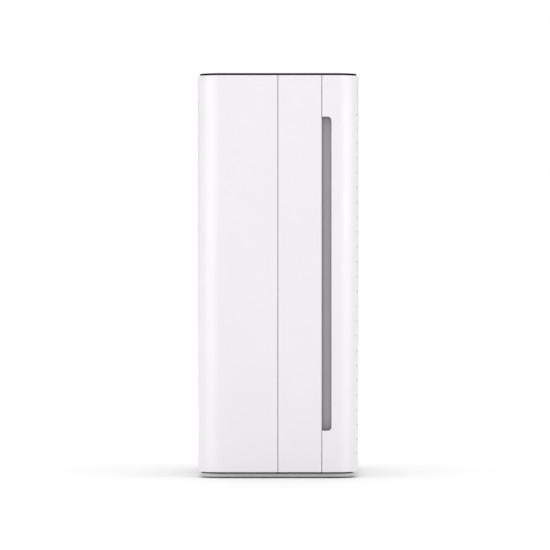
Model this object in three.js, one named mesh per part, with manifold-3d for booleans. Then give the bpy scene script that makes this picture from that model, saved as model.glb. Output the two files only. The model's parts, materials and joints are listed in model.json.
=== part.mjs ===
// Home battery unit that stands on a low plinth and can hook onto a wall rail. Millimetres.
// X is the width, Y the depth with the front at -Y, and Z is up.
// The origin is on the floor, under the middle of the unit.
import * as THREE from "three";
import { mergeVertices } from "three/addons/utils/BufferGeometryUtils.js";
import Module from "manifold-3d";

const wasm = await Module();
wasm.setup();

// ---------------------------------------------------------------- driving dimensions

const WIDTH = 400;
const DEPTH = 240;
const HEIGHT = 604;
const CORNER_R = 36;
const WALL = 3; // every moulded shell
const GAP = 0.3; // between pieces that rest on each other
const SEAM = 0.7; // parting lines between the shells
const REAR_SEAM_Y = 0.5;
const FRONT_SEAM_Y = -65;

const FOOT_H = 1.4; // how far the feet lift the plinth
const PLINTH_TOP = 6.5;
const BODY_BOTTOM = 9;
const GLASS_T = 3;
const GLASS_BOTTOM = HEIGHT - GLASS_T;
const BODY_TOP = GLASS_BOTTOM - 0.2;
const DECK_T = 4; // the deck under the glass
const ROOF_TOP = BODY_TOP - DECK_T - GAP;

const FAR = 1000; // longer than the unit, for cutting tools
const ARC_STEPS = 6; // half the segments in a quarter turn of a large corner
const SMALL_ARC_STEPS = 2;

const FRONT_IN = -DEPTH / 2 + WALL; // inner face of the front cover
const REAR_IN = DEPTH / 2 - WALL; // inner face of the rear shell

// ---------------------------------------------------------------- shapes and solids

// A closed geometry as a manifold-3d solid.
function solidOf(geometry) {
  const bare = geometry.clone();
  bare.deleteAttribute("normal");
  bare.deleteAttribute("uv");
  const merged = mergeVertices(bare, 1e-4);
  const mesh = new wasm.Mesh({
    numProp: 3,
    vertProperties: merged.attributes.position.array,
    triVerts: new Uint32Array(merged.index.array),
  });
  return new wasm.Manifold(mesh);
}

// A manifold-3d solid as a geometry.
function geometryOf(solid) {
  const mesh = solid.getMesh();
  const points = new Float32Array(mesh.numVert * 3);
  for (let i = 0; i < mesh.numVert; i++) {
    const start = i * mesh.numProp;
    points.set(mesh.vertProperties.subarray(start, start + 3), i * 3);
  }
  const geometry = new THREE.BufferGeometry();
  geometry.setAttribute("position", new THREE.BufferAttribute(points, 3));
  geometry.setIndex(new THREE.BufferAttribute(mesh.triVerts, 1));
  geometry.computeVertexNormals();
  return geometry;
}

function join(first, ...others) {
  return others.reduce((whole, piece) => whole.add(piece), first);
}

function cut(solid, ...tools) {
  return tools.reduce((rest, tool) => rest.subtract(tool), solid);
}

// A rectangle with rounded corners, around (cx, cy).
function roundedRect(width, height, radius, cx = 0, cy = 0) {
  const x = width / 2 - radius;
  const y = height / 2 - radius;
  const shape = new THREE.Shape();
  shape.absarc(cx + x, cy + y, radius, 0, Math.PI / 2);
  shape.absarc(cx - x, cy + y, radius, Math.PI / 2, Math.PI);
  shape.absarc(cx - x, cy - y, radius, Math.PI, 1.5 * Math.PI);
  shape.absarc(cx + x, cy - y, radius, 1.5 * Math.PI, 2 * Math.PI);
  return shape;
}

function extrude(shape, length, steps) {
  const options = { depth: length, bevelEnabled: false, curveSegments: steps };
  return new THREE.ExtrudeGeometry(shape, options);
}

const X = new THREE.Vector3(1, 0, 0);
const Y = new THREE.Vector3(0, 1, 0);
const Z = new THREE.Vector3(0, 0, 1);

// A shape drawn in x and y, as a solid from low to high along Z.
function prismZ(shape, low, high, steps = ARC_STEPS) {
  return solidOf(extrude(shape, high - low, steps).translate(0, 0, low));
}

// A shape drawn in x and z, as a solid from low to high along Y.
function prismY(shape, low, high, steps = SMALL_ARC_STEPS) {
  const turn = new THREE.Matrix4().makeBasis(X, Z, Y.clone().negate());
  const geometry = extrude(shape, high - low, steps).applyMatrix4(turn);
  return solidOf(geometry.translate(0, high, 0));
}

// A shape drawn in y and z, as a solid from low to high along X.
function prismX(shape, low, high, steps = SMALL_ARC_STEPS) {
  const turn = new THREE.Matrix4().makeBasis(Y, Z, X);
  const geometry = extrude(shape, high - low, steps).applyMatrix4(turn);
  return solidOf(geometry.translate(low, 0, 0));
}

function box([x0, x1], [y0, y1], [z0, z1]) {
  const geometry = new THREE.BoxGeometry(x1 - x0, y1 - y0, z1 - z0);
  geometry.translate((x0 + x1) / 2, (y0 + y1) / 2, (z0 + z1) / 2);
  return solidOf(geometry);
}

// A cylinder along X, Y or Z from low to high; a and b are its centre on the other two axes in order.
function rod(axis, radius, low, high, a, b, sides = 16) {
  const geometry = new THREE.CylinderGeometry(radius, radius, high - low, sides);
  const middle = (low + high) / 2;
  if (axis === "x") geometry.rotateZ(Math.PI / 2).translate(middle, a, b);
  if (axis === "y") geometry.translate(a, middle, b);
  if (axis === "z") geometry.rotateX(Math.PI / 2).translate(a, b, middle);
  return solidOf(geometry);
}

// ---------------------------------------------------------------- materials

function finish(color, roughness, metalness = 0) {
  return new THREE.MeshStandardMaterial({ color, roughness, metalness });
}

const WHITE_SHELL = 0xf1eff1;
const MID_GREY = 0x9d9a9d;
const DARK_GREY = 0x4a4a4d;
const BLACK = 0x101012;
const STEEL = 0xb4b6b8;
const BOARD_GREEN = 0x1f5a3c;
const CELL_BLUE = 0x2c5f9e;
const COPPER = 0xb87333;
const RUBBER = 0x1c1c1e;

const unit = new THREE.Group();
unit.name = "home_battery_unit";

function place(name, solid, material, parent = unit) {
  const mesh = new THREE.Mesh(geometryOf(solid), material);
  mesh.name = name;
  parent.add(mesh);
  return mesh;
}

// ---------------------------------------------------------------- outer shells

// The body's plan outline, moved inwards.
function bodyOutline(inset) {
  return roundedRect(WIDTH - 2 * inset, DEPTH - 2 * inset, CORNER_R - inset);
}

// The whole hollow body, before it is parted: walls, a floor, and a roof below the deck.
function hollowBody() {
  const whole = prismZ(bodyOutline(0), BODY_BOTTOM, BODY_TOP);
  const inside = prismZ(bodyOutline(WALL), BODY_BOTTOM + WALL, ROOF_TOP - WALL);
  const deckSeat = prismZ(bodyOutline(WALL), ROOF_TOP, BODY_TOP + 1);
  return cut(whole, inside, deckSeat);
}

function bodyBetween(front, rear) {
  return hollowBody().intersect(box([-FAR, FAR], [front, rear], [0, FAR]));
}

// Side notches of the front cover: air inlets and finger grips.
const SLOT_WIDTH = 14.3;
const SLOT_LOW = 71;
const SLOT_HIGH = 539;
const SLOT_R = 5.5;

function slotNotch() {
  const run = SLOT_WIDTH + SLOT_R; // reaches behind the seam, so that only the front corners are round
  const centre = FRONT_SEAM_Y - SLOT_WIDTH + run / 2;
  const shape = roundedRect(run, SLOT_HIGH - SLOT_LOW, SLOT_R, centre, (SLOT_LOW + SLOT_HIGH) / 2);
  return prismX(shape, -FAR, FAR, 3);
}

// Clip posts that plug the cover into the inner housing.
const CLIP_X = 150;
const CLIP_Z = [60, 550];
const CLIP_R = 5;
const CLIP_NOSE_R = 3;
const HOUSING_FRONT = -100;

function clipPlaces() {
  return CLIP_Z.flatMap((z) => [[-CLIP_X, z], [CLIP_X, z]]);
}

function frontCover() {
  const shell = bodyBetween(-FAR, FRONT_SEAM_Y - SEAM / 2);
  const posts = clipPlaces().flatMap(([x, z]) => [
    rod("y", CLIP_R, FRONT_IN - 1, HOUSING_FRONT - GAP, x, z),
    rod("y", CLIP_NOSE_R, FRONT_IN, HOUSING_FRONT + WALL + 1, x, z),
  ]);
  place("front_cover", join(cut(shell, slotNotch()), ...posts), finish(WHITE_SHELL, 0.42));
}

function midFrame() {
  const ring = bodyBetween(FRONT_SEAM_Y + SEAM / 2, REAR_SEAM_Y - SEAM / 2);
  place("mid_frame", ring, finish(WHITE_SHELL, 0.42));
}

// Exhaust louvres, hook-rail pocket and terminal bay of the rear shell.
const LOUVRE = { length: 76, height: 4, pitchX: 90, pitchZ: 12, columns: 3, rows: 12, lowZ: 424 };
const POCKET = { halfX: 155, low: 336, high: 400, depth: 11 };
const BAY = { halfX: 110, low: 34, high: 104 };

function louvres() {
  const cuts = [];
  for (let row = 0; row < LOUVRE.rows; row++) {
    for (let column = 0; column < LOUVRE.columns; column++) {
      const x = (column - (LOUVRE.columns - 1) / 2) * LOUVRE.pitchX - LOUVRE.length / 2;
      const z = LOUVRE.lowZ + row * LOUVRE.pitchZ - LOUVRE.height / 2;
      cuts.push(box([x, x + LOUVRE.length], [REAR_IN - 1, FAR], [z, z + LOUVRE.height]));
    }
  }
  return cuts;
}

function pocketBox(grow, rear) {
  const x = [-POCKET.halfX - grow, POCKET.halfX + grow];
  const floor = DEPTH / 2 - POCKET.depth - grow;
  return box(x, [floor, rear], [POCKET.low - grow, POCKET.high + grow]);
}

function rearShell() {
  const shell = bodyBetween(REAR_SEAM_Y + SEAM / 2, FAR);
  const body = cut(
    join(shell, pocketBox(WALL, REAR_IN + 1)),
    pocketBox(0, FAR),
    box([-BAY.halfX, BAY.halfX], [REAR_IN - 1, FAR], [BAY.low, BAY.high]),
    ...louvres(),
  );
  place("rear_shell", body, finish(WHITE_SHELL, 0.42));
}

// ---------------------------------------------------------------- top and base

const GLASS_INSET = 2.7;
const GLASS_FILLET = 1.2;
const DISPLAY = { halfX: 62, front: -96, rear: -64, pocket: 2.4, board: 1.6 };

function topGlass() {
  const shape = bodyOutline(GLASS_INSET + GLASS_FILLET);
  const geometry = new THREE.ExtrudeGeometry(shape, {
    depth: GLASS_T,
    curveSegments: ARC_STEPS,
    bevelThickness: GLASS_FILLET,
    bevelSize: GLASS_FILLET,
    bevelSegments: 2,
  });
  geometry.translate(0, 0, HEIGHT - GLASS_T - GLASS_FILLET);
  const slab = box([-FAR, FAR], [-FAR, FAR], [GLASS_BOTTOM, HEIGHT]);
  place("top_glass", solidOf(geometry).intersect(slab), finish(BLACK, 0.08));
}

function topDeck() {
  const top = BODY_TOP;
  const deck = prismZ(bodyOutline(WALL + GAP), top - DECK_T, top);
  const pocketX = [-DISPLAY.halfX, DISPLAY.halfX];
  const pocketY = [DISPLAY.front, DISPLAY.rear];
  const pocket = box(pocketX, pocketY, [top - DISPLAY.pocket, top + 1]);
  place("top_deck", cut(deck, pocket), finish(DARK_GREY, 0.6));

  const low = top - DISPLAY.pocket + GAP;
  const boardX = [-DISPLAY.halfX + GAP, DISPLAY.halfX - GAP];
  const boardY = [DISPLAY.front + GAP, DISPLAY.rear - GAP];
  place("display_board", box(boardX, boardY, [low, low + DISPLAY.board]), finish(BOARD_GREEN, 0.5));
}

const PLINTH = { halfX: 188, front: -113, rear: 115.5, r: 28 };
const NECK_STEP = 12; // how far the neck under the body stands back from the plinth
const FOOT = { r: 14, x: 150, y: 78, buried: 1.4 };

function footPlaces() {
  return [
    ["front_left", -FOOT.x, -FOOT.y],
    ["front_right", FOOT.x, -FOOT.y],
    ["rear_left", -FOOT.x, FOOT.y],
    ["rear_right", FOOT.x, FOOT.y],
  ];
}

// Plan outline of the plinth, or of its neck.
function plinthOutline(inset) {
  const depth = PLINTH.rear - PLINTH.front - 2 * inset;
  const middle = (PLINTH.rear + PLINTH.front) / 2;
  return roundedRect(2 * (PLINTH.halfX - inset), depth, PLINTH.r - inset, 0, middle);
}

function base() {
  const plate = join(
    prismZ(plinthOutline(0), FOOT_H, PLINTH_TOP),
    prismZ(plinthOutline(NECK_STEP), FOOT_H + 1, BODY_BOTTOM - GAP),
  );
  const seats = footPlaces().map(([, x, y]) =>
    rod("z", FOOT.r + GAP, 0, FOOT_H + FOOT.buried + GAP, x, y),
  );
  place("plinth", cut(plate, ...seats), finish(0xe4e2e4, 0.5));

  for (const [name, x, y] of footPlaces()) {
    place(`foot_${name}`, rod("z", FOOT.r, 0, FOOT_H + FOOT.buried, x, y), finish(RUBBER, 0.9));
  }
}

// ---------------------------------------------------------------- inner housing behind the front cover

const HOUSING = { halfX: 189, low: 18, high: 586, rear: -60, r: 6 };
const FAN = { x: 85, z: 225, size: 120, depth: 25, bore: 57, hub: 20 };
const GUARD_RINGS = [[24, 31], [36, 43], [48, 55]]; // inner and outer radius of each ring of slots
const BREAKER = { x: 120, z: 515, width: 36, height: 80, nose: 46, noseFront: -103, rear: -34 };
const BUTTON = { x: 40, z: 515, r: 8, travel: 1.5, front: -104 };

// One curved slot of a fan guard, in x and z around (cx, cz).
function guardSlot(inner, outer, start, cx, cz) {
  const spoke = 6; // width of the web between two slots
  const innerTrim = spoke / 2 / inner;
  const outerTrim = spoke / 2 / outer;
  const end = start + Math.PI / 2;
  const shape = new THREE.Shape();
  shape.absarc(cx, cz, outer, start + outerTrim, end - outerTrim, false);
  shape.absarc(cx, cz, inner, end - innerTrim, start + innerTrim, true);
  return prismY(shape, HOUSING_FRONT - 1, HOUSING_FRONT + WALL + 1, 3);
}

function fanGuardSlots(cx) {
  const slots = [];
  for (const [inner, outer] of GUARD_RINGS) {
    for (let quarter = 0; quarter < 4; quarter++) {
      slots.push(guardSlot(inner, outer, Math.PI / 4 + (quarter * Math.PI) / 2, cx, FAN.z));
    }
  }
  return slots;
}

function innerHousing() {
  const height = HOUSING.high - HOUSING.low;
  const middle = (HOUSING.high + HOUSING.low) / 2;
  const front = HOUSING_FRONT;
  const outer = roundedRect(2 * HOUSING.halfX, height, HOUSING.r, 0, middle);
  const inner = roundedRect(2 * (HOUSING.halfX - WALL), height - 2 * WALL, HOUSING.r - WALL, 0, middle);
  const breakerWindow = roundedRect(BREAKER.width + 1, BREAKER.nose + 1, 1, BREAKER.x, BREAKER.z);
  const through = [front - 1, front + WALL + 1];
  const body = cut(
    prismY(outer, front, HOUSING.rear),
    prismY(inner, front + WALL, HOUSING.rear + 1),
    prismY(breakerWindow, ...through),
    rod("y", BUTTON.r + 0.4, ...through, BUTTON.x, BUTTON.z),
    ...clipPlaces().map(([x, z]) => rod("y", CLIP_NOSE_R + 0.4, ...through, x, z)),
    ...fanGuardSlots(-FAN.x),
    ...fanGuardSlots(FAN.x),
  );
  place("inner_housing", body, finish(MID_GREY, 0.55));
}

// ---------------------------------------------------------------- cooling fans

const FAN_FRONT = HOUSING_FRONT + WALL + GAP;
const FAN_REAR = FAN_FRONT + FAN.depth;
const STRUT_T = 3.5;
const BLADES = 7;

function fanFrame(name, cx) {
  const square = roundedRect(FAN.size, FAN.size, 8, cx, FAN.z);
  const bore = rod("y", FAN.bore, FAN_FRONT - 1, FAN_REAR + 1, cx, FAN.z, 32);
  const struts = [0, 1].map((turn) => {
    const bar = roundedRect(2 * FAN.bore + 4, 6, 1);
    const geometry = extrude(bar, STRUT_T, 1);
    geometry.rotateZ(Math.PI / 4 + (turn * Math.PI) / 2).rotateX(Math.PI / 2);
    return solidOf(geometry.translate(cx, FAN_REAR, FAN.z));
  });
  const motor = rod("y", FAN.hub, FAN_REAR - STRUT_T, FAN_REAR, cx, FAN.z, 20);
  const body = join(cut(prismY(square, FAN_FRONT, FAN_REAR), bore), ...struts, motor);
  place(name, body, finish(BLACK, 0.6));
}

// A rotor: a hub with tilted blades, set out around the axis and moved into the frame.
function fanRotor(name, cx) {
  const front = FAN_FRONT + 1.5;
  const rear = FAN_REAR - STRUT_T - 1;
  const middle = (front + rear) / 2;
  const hub = rod("y", FAN.hub, front, rear, cx, FAN.z, 20);
  const blades = [];
  for (let i = 0; i < BLADES; i++) {
    const blade = new THREE.BoxGeometry(34, 1.6, 21);
    blade.rotateX(THREE.MathUtils.degToRad(38));
    blade.translate(FAN.hub + 16, 0, 0);
    blade.rotateY((i * 2 * Math.PI) / BLADES);
    blades.push(solidOf(blade.translate(cx, middle, FAN.z)));
  }
  place(name, join(hub, ...blades), finish(BLACK, 0.5));
}

// ---------------------------------------------------------------- sheet-metal chassis

const CHASSIS = { halfX: 177, front: -56, rear: 58, sheet: 2, shelfZ: 470, backTop: 590 };

function chassis() {
  const steel = () => finish(STEEL, 0.4, 0.9);
  const { halfX, front, rear, sheet, shelfZ, backTop } = CHASSIS;
  const floorLow = BODY_BOTTOM + WALL + GAP;
  const floorTop = floorLow + sheet;
  const wide = [-halfX - 6, halfX + 6];
  place("chassis_floor", box(wide, [front, REAR_IN - 8], [floorLow, floorTop]), steel());

  const windows = [105, 235, 365].map((z) =>
    prismX(roundedRect(56, 50, 8, (front + rear) / 2, z), -FAR, FAR, 1),
  );
  const frame = cut(
    box([-halfX, halfX], [front, rear], [floorTop + GAP, shelfZ]),
    box([sheet - halfX, halfX - sheet], [-FAR, FAR], [0, shelfZ - sheet]),
    ...windows,
  );
  place("chassis_frame", frame, steel());

  const back = box(wide, [rear + GAP, rear + GAP + sheet], [floorTop + GAP, backTop]);
  const cableHole = prismY(roundedRect(80, 30, 8, 0, 540), -FAR, FAR);
  place("chassis_back", cut(back, cableHole), steel());
}

// ---------------------------------------------------------------- battery modules

const CELL = { width: 160, height: 116, thickness: 50, pitch: 51, count: 8, x: 88 };
const CELL_REAR = CHASSIS.rear - GAP;
const CELL_FRONT = CELL_REAR - CELL.height;
const TERMINAL = { r: 7, height: 3, x: 58 };
const CLAMP_T = 8;
const STACK_LOW = 15 + CLAMP_T + 1;
const STACK_HIGH = STACK_LOW + CELL.count * CELL.pitch;

// Sixteen prismatic cells on their sides, terminals to the front, in two stacks of eight.
function batteryStack(side, cx) {
  const x = [cx - CELL.width / 2, cx + CELL.width / 2];
  for (let i = 0; i < CELL.count; i++) {
    const low = STACK_LOW + i * CELL.pitch;
    const middle = low + CELL.thickness / 2;
    const can = box(x, [CELL_FRONT, CELL_REAR], [low, low + CELL.thickness]);
    const terminals = [-TERMINAL.x, TERMINAL.x].map((dx) =>
      rod("y", TERMINAL.r, CELL_FRONT - TERMINAL.height, CELL_FRONT + 1, cx + dx, middle, 8),
    );
    place(`cell_${side}_${i + 1}`, join(can, ...terminals), finish(CELL_BLUE, 0.5));
  }

  const clampLow = STACK_HIGH - CELL.pitch + CELL.thickness + GAP;
  const plateY = [CELL_FRONT + 4, CELL_REAR - 4];
  const clamp = box(x, plateY, [clampLow, clampLow + CLAMP_T]);
  place(`clamp_plate_${side}`, clamp, finish(STEEL, 0.4, 0.9));

  const rear = CELL_FRONT - TERMINAL.height - GAP;
  const carrier = box(x, [rear - 2, rear], [STACK_LOW, STACK_HIGH - 2]);
  const links = [];
  for (let i = 0; i < CELL.count - 1; i++) {
    const centre = STACK_LOW + (i + 1) * CELL.pitch - 0.5;
    const dx = i % 2 ? TERMINAL.x : -TERMINAL.x;
    links.push(box([cx + dx - 9, cx + dx + 9], [rear - 3.5, rear - 1], [centre - 34, centre + 34]));
  }
  place(`busbar_plate_${side}`, join(carrier, ...links), finish(COPPER, 0.4, 0.9));
}

// ---------------------------------------------------------------- control gear above the modules

const SHELF_TOP = CHASSIS.shelfZ;

function controlGear() {
  const low = SHELF_TOP + GAP;
  const board = box([-160, -20], [-46, 50], [low + 6, low + 7.6]);
  const standoffs = [[-154, -40], [-26, -40], [-154, 44], [-26, 44]].map(([x, y]) =>
    rod("z", 3, low, low + 6.5, x, y, 8),
  );
  const spreader = box([-120, -60], [-20, 24], [low + 7, low + 20]);
  place("bms_board", join(board, ...standoffs, spreader), finish(BOARD_GREEN, 0.5));

  const can = box([-6, 54], [-16, 40], [low, low + 58]);
  const studs = [10, 38].map((x) => rod("z", 5, low + 57, low + 68, x, 12, 8));
  place("contactor", join(can, ...studs), finish(DARK_GREY, 0.5));

  const barrel = rod("x", 12, 72, 108, 20, low + 24, 16);
  const blades = box([62, 118], [18.5, 21.5], [low + 14, low + 34]);
  const holder = box([66, 114], [8, 32], [low, low + 13]);
  place("main_fuse", join(barrel, blades, holder), finish(0xd8d2c4, 0.5));
}

const LEVER = { drum: 8.4, pivotY: -98, width: 21, length: 14, thickness: 4, up: 25 };

function breaker() {
  const { x, z, width, height, nose, noseFront, rear } = BREAKER;
  const side = [x - width / 2, x + width / 2];
  const body = box(side, [HOUSING_FRONT + WALL + GAP, rear], [z - height / 2, z + height / 2]);
  const front = box(side, [noseFront, HOUSING_FRONT + 4], [z - nose / 2, z + nose / 2]);
  const inner = LEVER.width / 2 + 0.5;
  const well = rod("x", LEVER.drum + 0.6, x - inner, x + inner, LEVER.pivotY, z, 24);
  place("breaker_body", cut(join(body, front), well), finish(0xdedcd8, 0.5));

  const drum = rod("x", LEVER.drum, x - LEVER.width / 2, x + LEVER.width / 2, LEVER.pivotY, z, 24);
  const handle = new THREE.BoxGeometry(LEVER.width - 3, LEVER.length, LEVER.thickness);
  handle.translate(0, -LEVER.length / 2, 0).rotateX(THREE.MathUtils.degToRad(-LEVER.up));
  const lever = solidOf(handle.translate(x, LEVER.pivotY, z));
  place("breaker_toggle", join(drum, lever), finish(0x303236, 0.5));
}

function powerButton() {
  const { x, z, r, front } = BUTTON;
  const wallIn = HOUSING_FRONT + WALL;
  const cap = rod("y", r, front, wallIn + 6, x, z, 24);
  const collar = rod("y", r + 2, wallIn + GAP, wallIn + 2, x, z, 24);
  place("power_button", join(cap, collar), finish(0xe9e9ea, 0.4));

  const switchFront = wallIn + 6 + BUTTON.travel + GAP;
  const body = box([x - 9, x + 9], [switchFront, switchFront + 12], [z - 9, z + 9]);
  place("button_switch", body, finish(BLACK, 0.6));
}

// ---------------------------------------------------------------- inverter behind the modules

const BOARD_Y = 63;
const SINK = { halfX: 130, low: 418, high: 566, base: 5, finTop: 104, fins: 17, finT: 2.5 };

function inverter() {
  const board = box([-150, 150], [BOARD_Y, BOARD_Y + 1.6], [128, 572]);
  place("inverter_board", board, finish(BOARD_GREEN, 0.5));

  const baseY = BOARD_Y + 3;
  const plate = box([-SINK.halfX, SINK.halfX], [baseY, baseY + SINK.base], [SINK.low, SINK.high]);
  const fins = [];
  for (let i = 0; i < SINK.fins; i++) {
    const x = -SINK.halfX + ((2 * SINK.halfX - SINK.finT) * i) / (SINK.fins - 1);
    const fin = box([x, x + SINK.finT], [baseY + 1, SINK.finTop], [SINK.low, SINK.high]);
    fins.push(fin);
  }
  place("heat_sink", join(plate, ...fins), finish(STEEL, 0.35, 0.9));

  const partY = BOARD_Y + 1.6 + GAP;
  const strip = box([-76, 76], [partY, partY + 4], [270, 310]);
  const cans = [-57, -19, 19, 57].map((x) => rod("y", 17, partY + 3, partY + 34, x, 290, 16));
  place("capacitor_bank", join(strip, ...cans), finish(0x2b2b30, 0.4));

  for (const [name, cx] of [["left", -75], ["right", 75]]) {
    const ring = cut(
      rod("y", 30, partY, partY + 26, cx, 200, 20),
      rod("y", 13, partY - 1, partY + 27, cx, 200, 12),
    );
    place(`choke_${name}`, ring, finish(COPPER, 0.4, 0.8));
  }
}

// ---------------------------------------------------------------- hook rail on the rear

const RAIL = { halfX: 148, sheet: 2.2, gap: 6, top: 396, lipLow: 374, baseLow: 352 };

function hookRail() {
  const floor = DEPTH / 2 - POCKET.depth + GAP;
  const baseRear = floor + RAIL.sheet;
  const lipFront = baseRear + RAIL.gap;
  const lipRear = lipFront + RAIL.sheet;
  const x = [-RAIL.halfX, RAIL.halfX];
  const plate = box(x, [floor, baseRear], [RAIL.baseLow, RAIL.top]);
  const web = box(x, [floor, lipRear], [RAIL.top - RAIL.sheet, RAIL.top]);
  const lip = box(x, [lipFront, lipRear], [RAIL.lipLow, RAIL.top]);
  place("hook_rail", join(plate, web, lip), finish(STEEL, 0.4, 0.9));
}

// ---------------------------------------------------------------- terminal bay

const TRAY = { front: 76, halfX: 113, low: 30, high: 112, wall: 2.5 };
const HINGE = { y: 117.5, z: 100.6, barrel: 2.5, pin: 1, bore: 1.3 };
const DOOR_GAP = 0.5;
const KNUCKLES = [[-104, -70], [70, 104]]; // the door's barrels, from and to along X
const TERMINALS = { z: 66, ac: -52, ground: -90, dcMinus: 0, dcPlus: 28, data: 80 };
const CABLE_NOTCHES = [TERMINALS.ac, (TERMINALS.dcMinus + TERMINALS.dcPlus) / 2, TERMINALS.data];
const LUGS = [[-109, -104.5], [-69.5, -65], [65, 69.5], [104.5, 109]];

function terminalTray() {
  const { front, halfX, low, high, wall } = TRAY;
  const rear = REAR_IN - GAP;
  const shell = cut(
    box([-halfX, halfX], [front, rear], [low, high]),
    box([-halfX + wall, halfX - wall], [front + wall, rear + 1], [low + wall, high - wall]),
  );
  const drum = (from, to) => rod("x", HINGE.barrel, from, to, HINGE.y, HINGE.z, 12);
  const lugs = LUGS.map(([from, to]) => {
    const web = box([from, to], [rear - 3, HINGE.y], [HINGE.z, high - 1]);
    const clear = box([from, to], [rear, FAR], [HINGE.z, FAR]);
    return join(cut(web, clear), drum(from, to));
  });
  const bore = rod("x", HINGE.bore, -FAR, FAR, HINGE.y, HINGE.z, 12);
  place("terminal_tray", cut(join(shell, ...lugs), bore), finish(DARK_GREY, 0.6));
}

function terminalDoor() {
  const low = BAY.low + DOOR_GAP;
  const x = [-BAY.halfX + DOOR_GAP, BAY.halfX - DOOR_GAP];
  const plate = box(x, [REAR_IN, DEPTH / 2], [low, HINGE.z]);
  const lugClear = LUGS.map(([from, to]) =>
    box([from - DOOR_GAP, to + DOOR_GAP], [0, FAR], [HINGE.z - HINGE.barrel - DOOR_GAP, FAR]),
  );
  const barrels = KNUCKLES.map(([from, to]) =>
    rod("x", HINGE.barrel, from, to, HINGE.y, HINGE.z, 12),
  );
  const notches = CABLE_NOTCHES.map((cx) =>
    prismY(roundedRect(30, 24, 6, cx, low), REAR_IN - 1, FAR),
  );
  const bore = rod("x", HINGE.bore, -FAR, FAR, HINGE.y, HINGE.z, 12);
  const door = cut(join(cut(plate, ...lugClear), ...barrels), bore, ...notches);
  place("terminal_door", door, finish(WHITE_SHELL, 0.42));
  const pin = rod("x", HINGE.pin, LUGS[0][0], LUGS[3][1], HINGE.y, HINGE.z, 12);
  place("door_pin", pin, finish(STEEL, 0.3, 0.9));
}

function terminals() {
  const { z, ac, ground, dcMinus, dcPlus, data } = TERMINALS;
  const face = TRAY.front + TRAY.wall + GAP;
  const hex = (r, from, to, x) => rod("y", r, from, to, x, z, 6);

  const gland = join(
    hex(15, face, face + 7, ac),
    rod("y", 11, face + 6, face + 16, ac, z, 16),
    rod("y", 8, face + 15, face + 20, ac, z, 16),
  );
  place("ac_gland", gland, finish(BLACK, 0.6));

  const stud = join(hex(8, face, face + 5, ground), rod("y", 4, face + 4, face + 18, ground, z, 12));
  place("ground_stud", stud, finish(0xc9a94b, 0.35, 0.9));

  for (const [name, x] of [["dc_plug_minus", dcMinus], ["dc_plug_plus", dcPlus]]) {
    const plug = join(
      rod("y", 9, face, face + 6, x, z, 12),
      rod("y", 6.5, face + 5, face + 19, x, z, 12),
      rod("y", 8, face + 12, face + 16, x, z, 12),
    );
    place(name, plug, finish(BLACK, 0.55));
  }

  const port = join(
    box([data - 18, data + 18], [face, face + 3], [z - 14, z + 14]),
    box([data - 12, data + 12], [face + 2, face + 9], [z - 9, z + 9]),
  );
  place("data_port_cap", port, finish(RUBBER, 0.8));
}

// ---------------------------------------------------------------- the unit

frontCover();
midFrame();
rearShell();
topGlass();
topDeck();
base();
innerHousing();
for (const [side, cx] of [["left", -FAN.x], ["right", FAN.x]]) {
  fanFrame(`fan_frame_${side}`, cx);
  fanRotor(`fan_rotor_${side}`, cx);
}
chassis();
batteryStack("left", -CELL.x);
batteryStack("right", CELL.x);
controlGear();
breaker();
powerButton();
inverter();
hookRail();
terminalTray();
terminalDoor();
terminals();

export default unit;
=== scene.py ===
"""The finished look of a free-standing home battery unit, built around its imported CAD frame.

Shapes are made in millimetres and turned into metres when they become objects.
X is the width, Y the depth with the front at -Y, and Z is up.
"""
import json
import math
from collections import namedtuple

import bmesh
import bpy
import numpy as np
from mathutils import Matrix, Vector

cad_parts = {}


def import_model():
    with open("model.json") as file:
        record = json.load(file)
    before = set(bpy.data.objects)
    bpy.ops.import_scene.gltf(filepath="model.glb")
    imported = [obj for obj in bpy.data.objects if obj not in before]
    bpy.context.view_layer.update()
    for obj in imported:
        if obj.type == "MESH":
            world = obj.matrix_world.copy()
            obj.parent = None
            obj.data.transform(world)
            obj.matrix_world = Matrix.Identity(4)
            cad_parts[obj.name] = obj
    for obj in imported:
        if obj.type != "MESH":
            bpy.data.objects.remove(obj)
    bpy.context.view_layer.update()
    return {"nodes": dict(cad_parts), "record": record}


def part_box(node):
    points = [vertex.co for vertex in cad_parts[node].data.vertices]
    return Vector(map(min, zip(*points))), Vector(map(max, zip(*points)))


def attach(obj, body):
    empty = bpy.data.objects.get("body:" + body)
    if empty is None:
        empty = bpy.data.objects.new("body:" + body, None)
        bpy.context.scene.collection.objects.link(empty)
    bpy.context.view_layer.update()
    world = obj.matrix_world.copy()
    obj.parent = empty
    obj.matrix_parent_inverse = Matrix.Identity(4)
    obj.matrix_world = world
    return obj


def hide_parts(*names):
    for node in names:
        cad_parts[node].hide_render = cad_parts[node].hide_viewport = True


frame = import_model()

MM = 0.001
QUARTER = math.pi / 2
X_AXIS = Vector((1, 0, 0))
Y_AXIS = Vector((0, 1, 0))
Z_AXIS = Vector((0, 0, 1))


def node_box(node):
    """A CAD node's lowest and highest corners in millimetres."""
    low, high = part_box(node)
    return low / MM, high / MM


def node_centre(node):
    low, high = node_box(node)
    return (low + high) / 2


# ---------------------------------------------------------------- sizes

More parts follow.
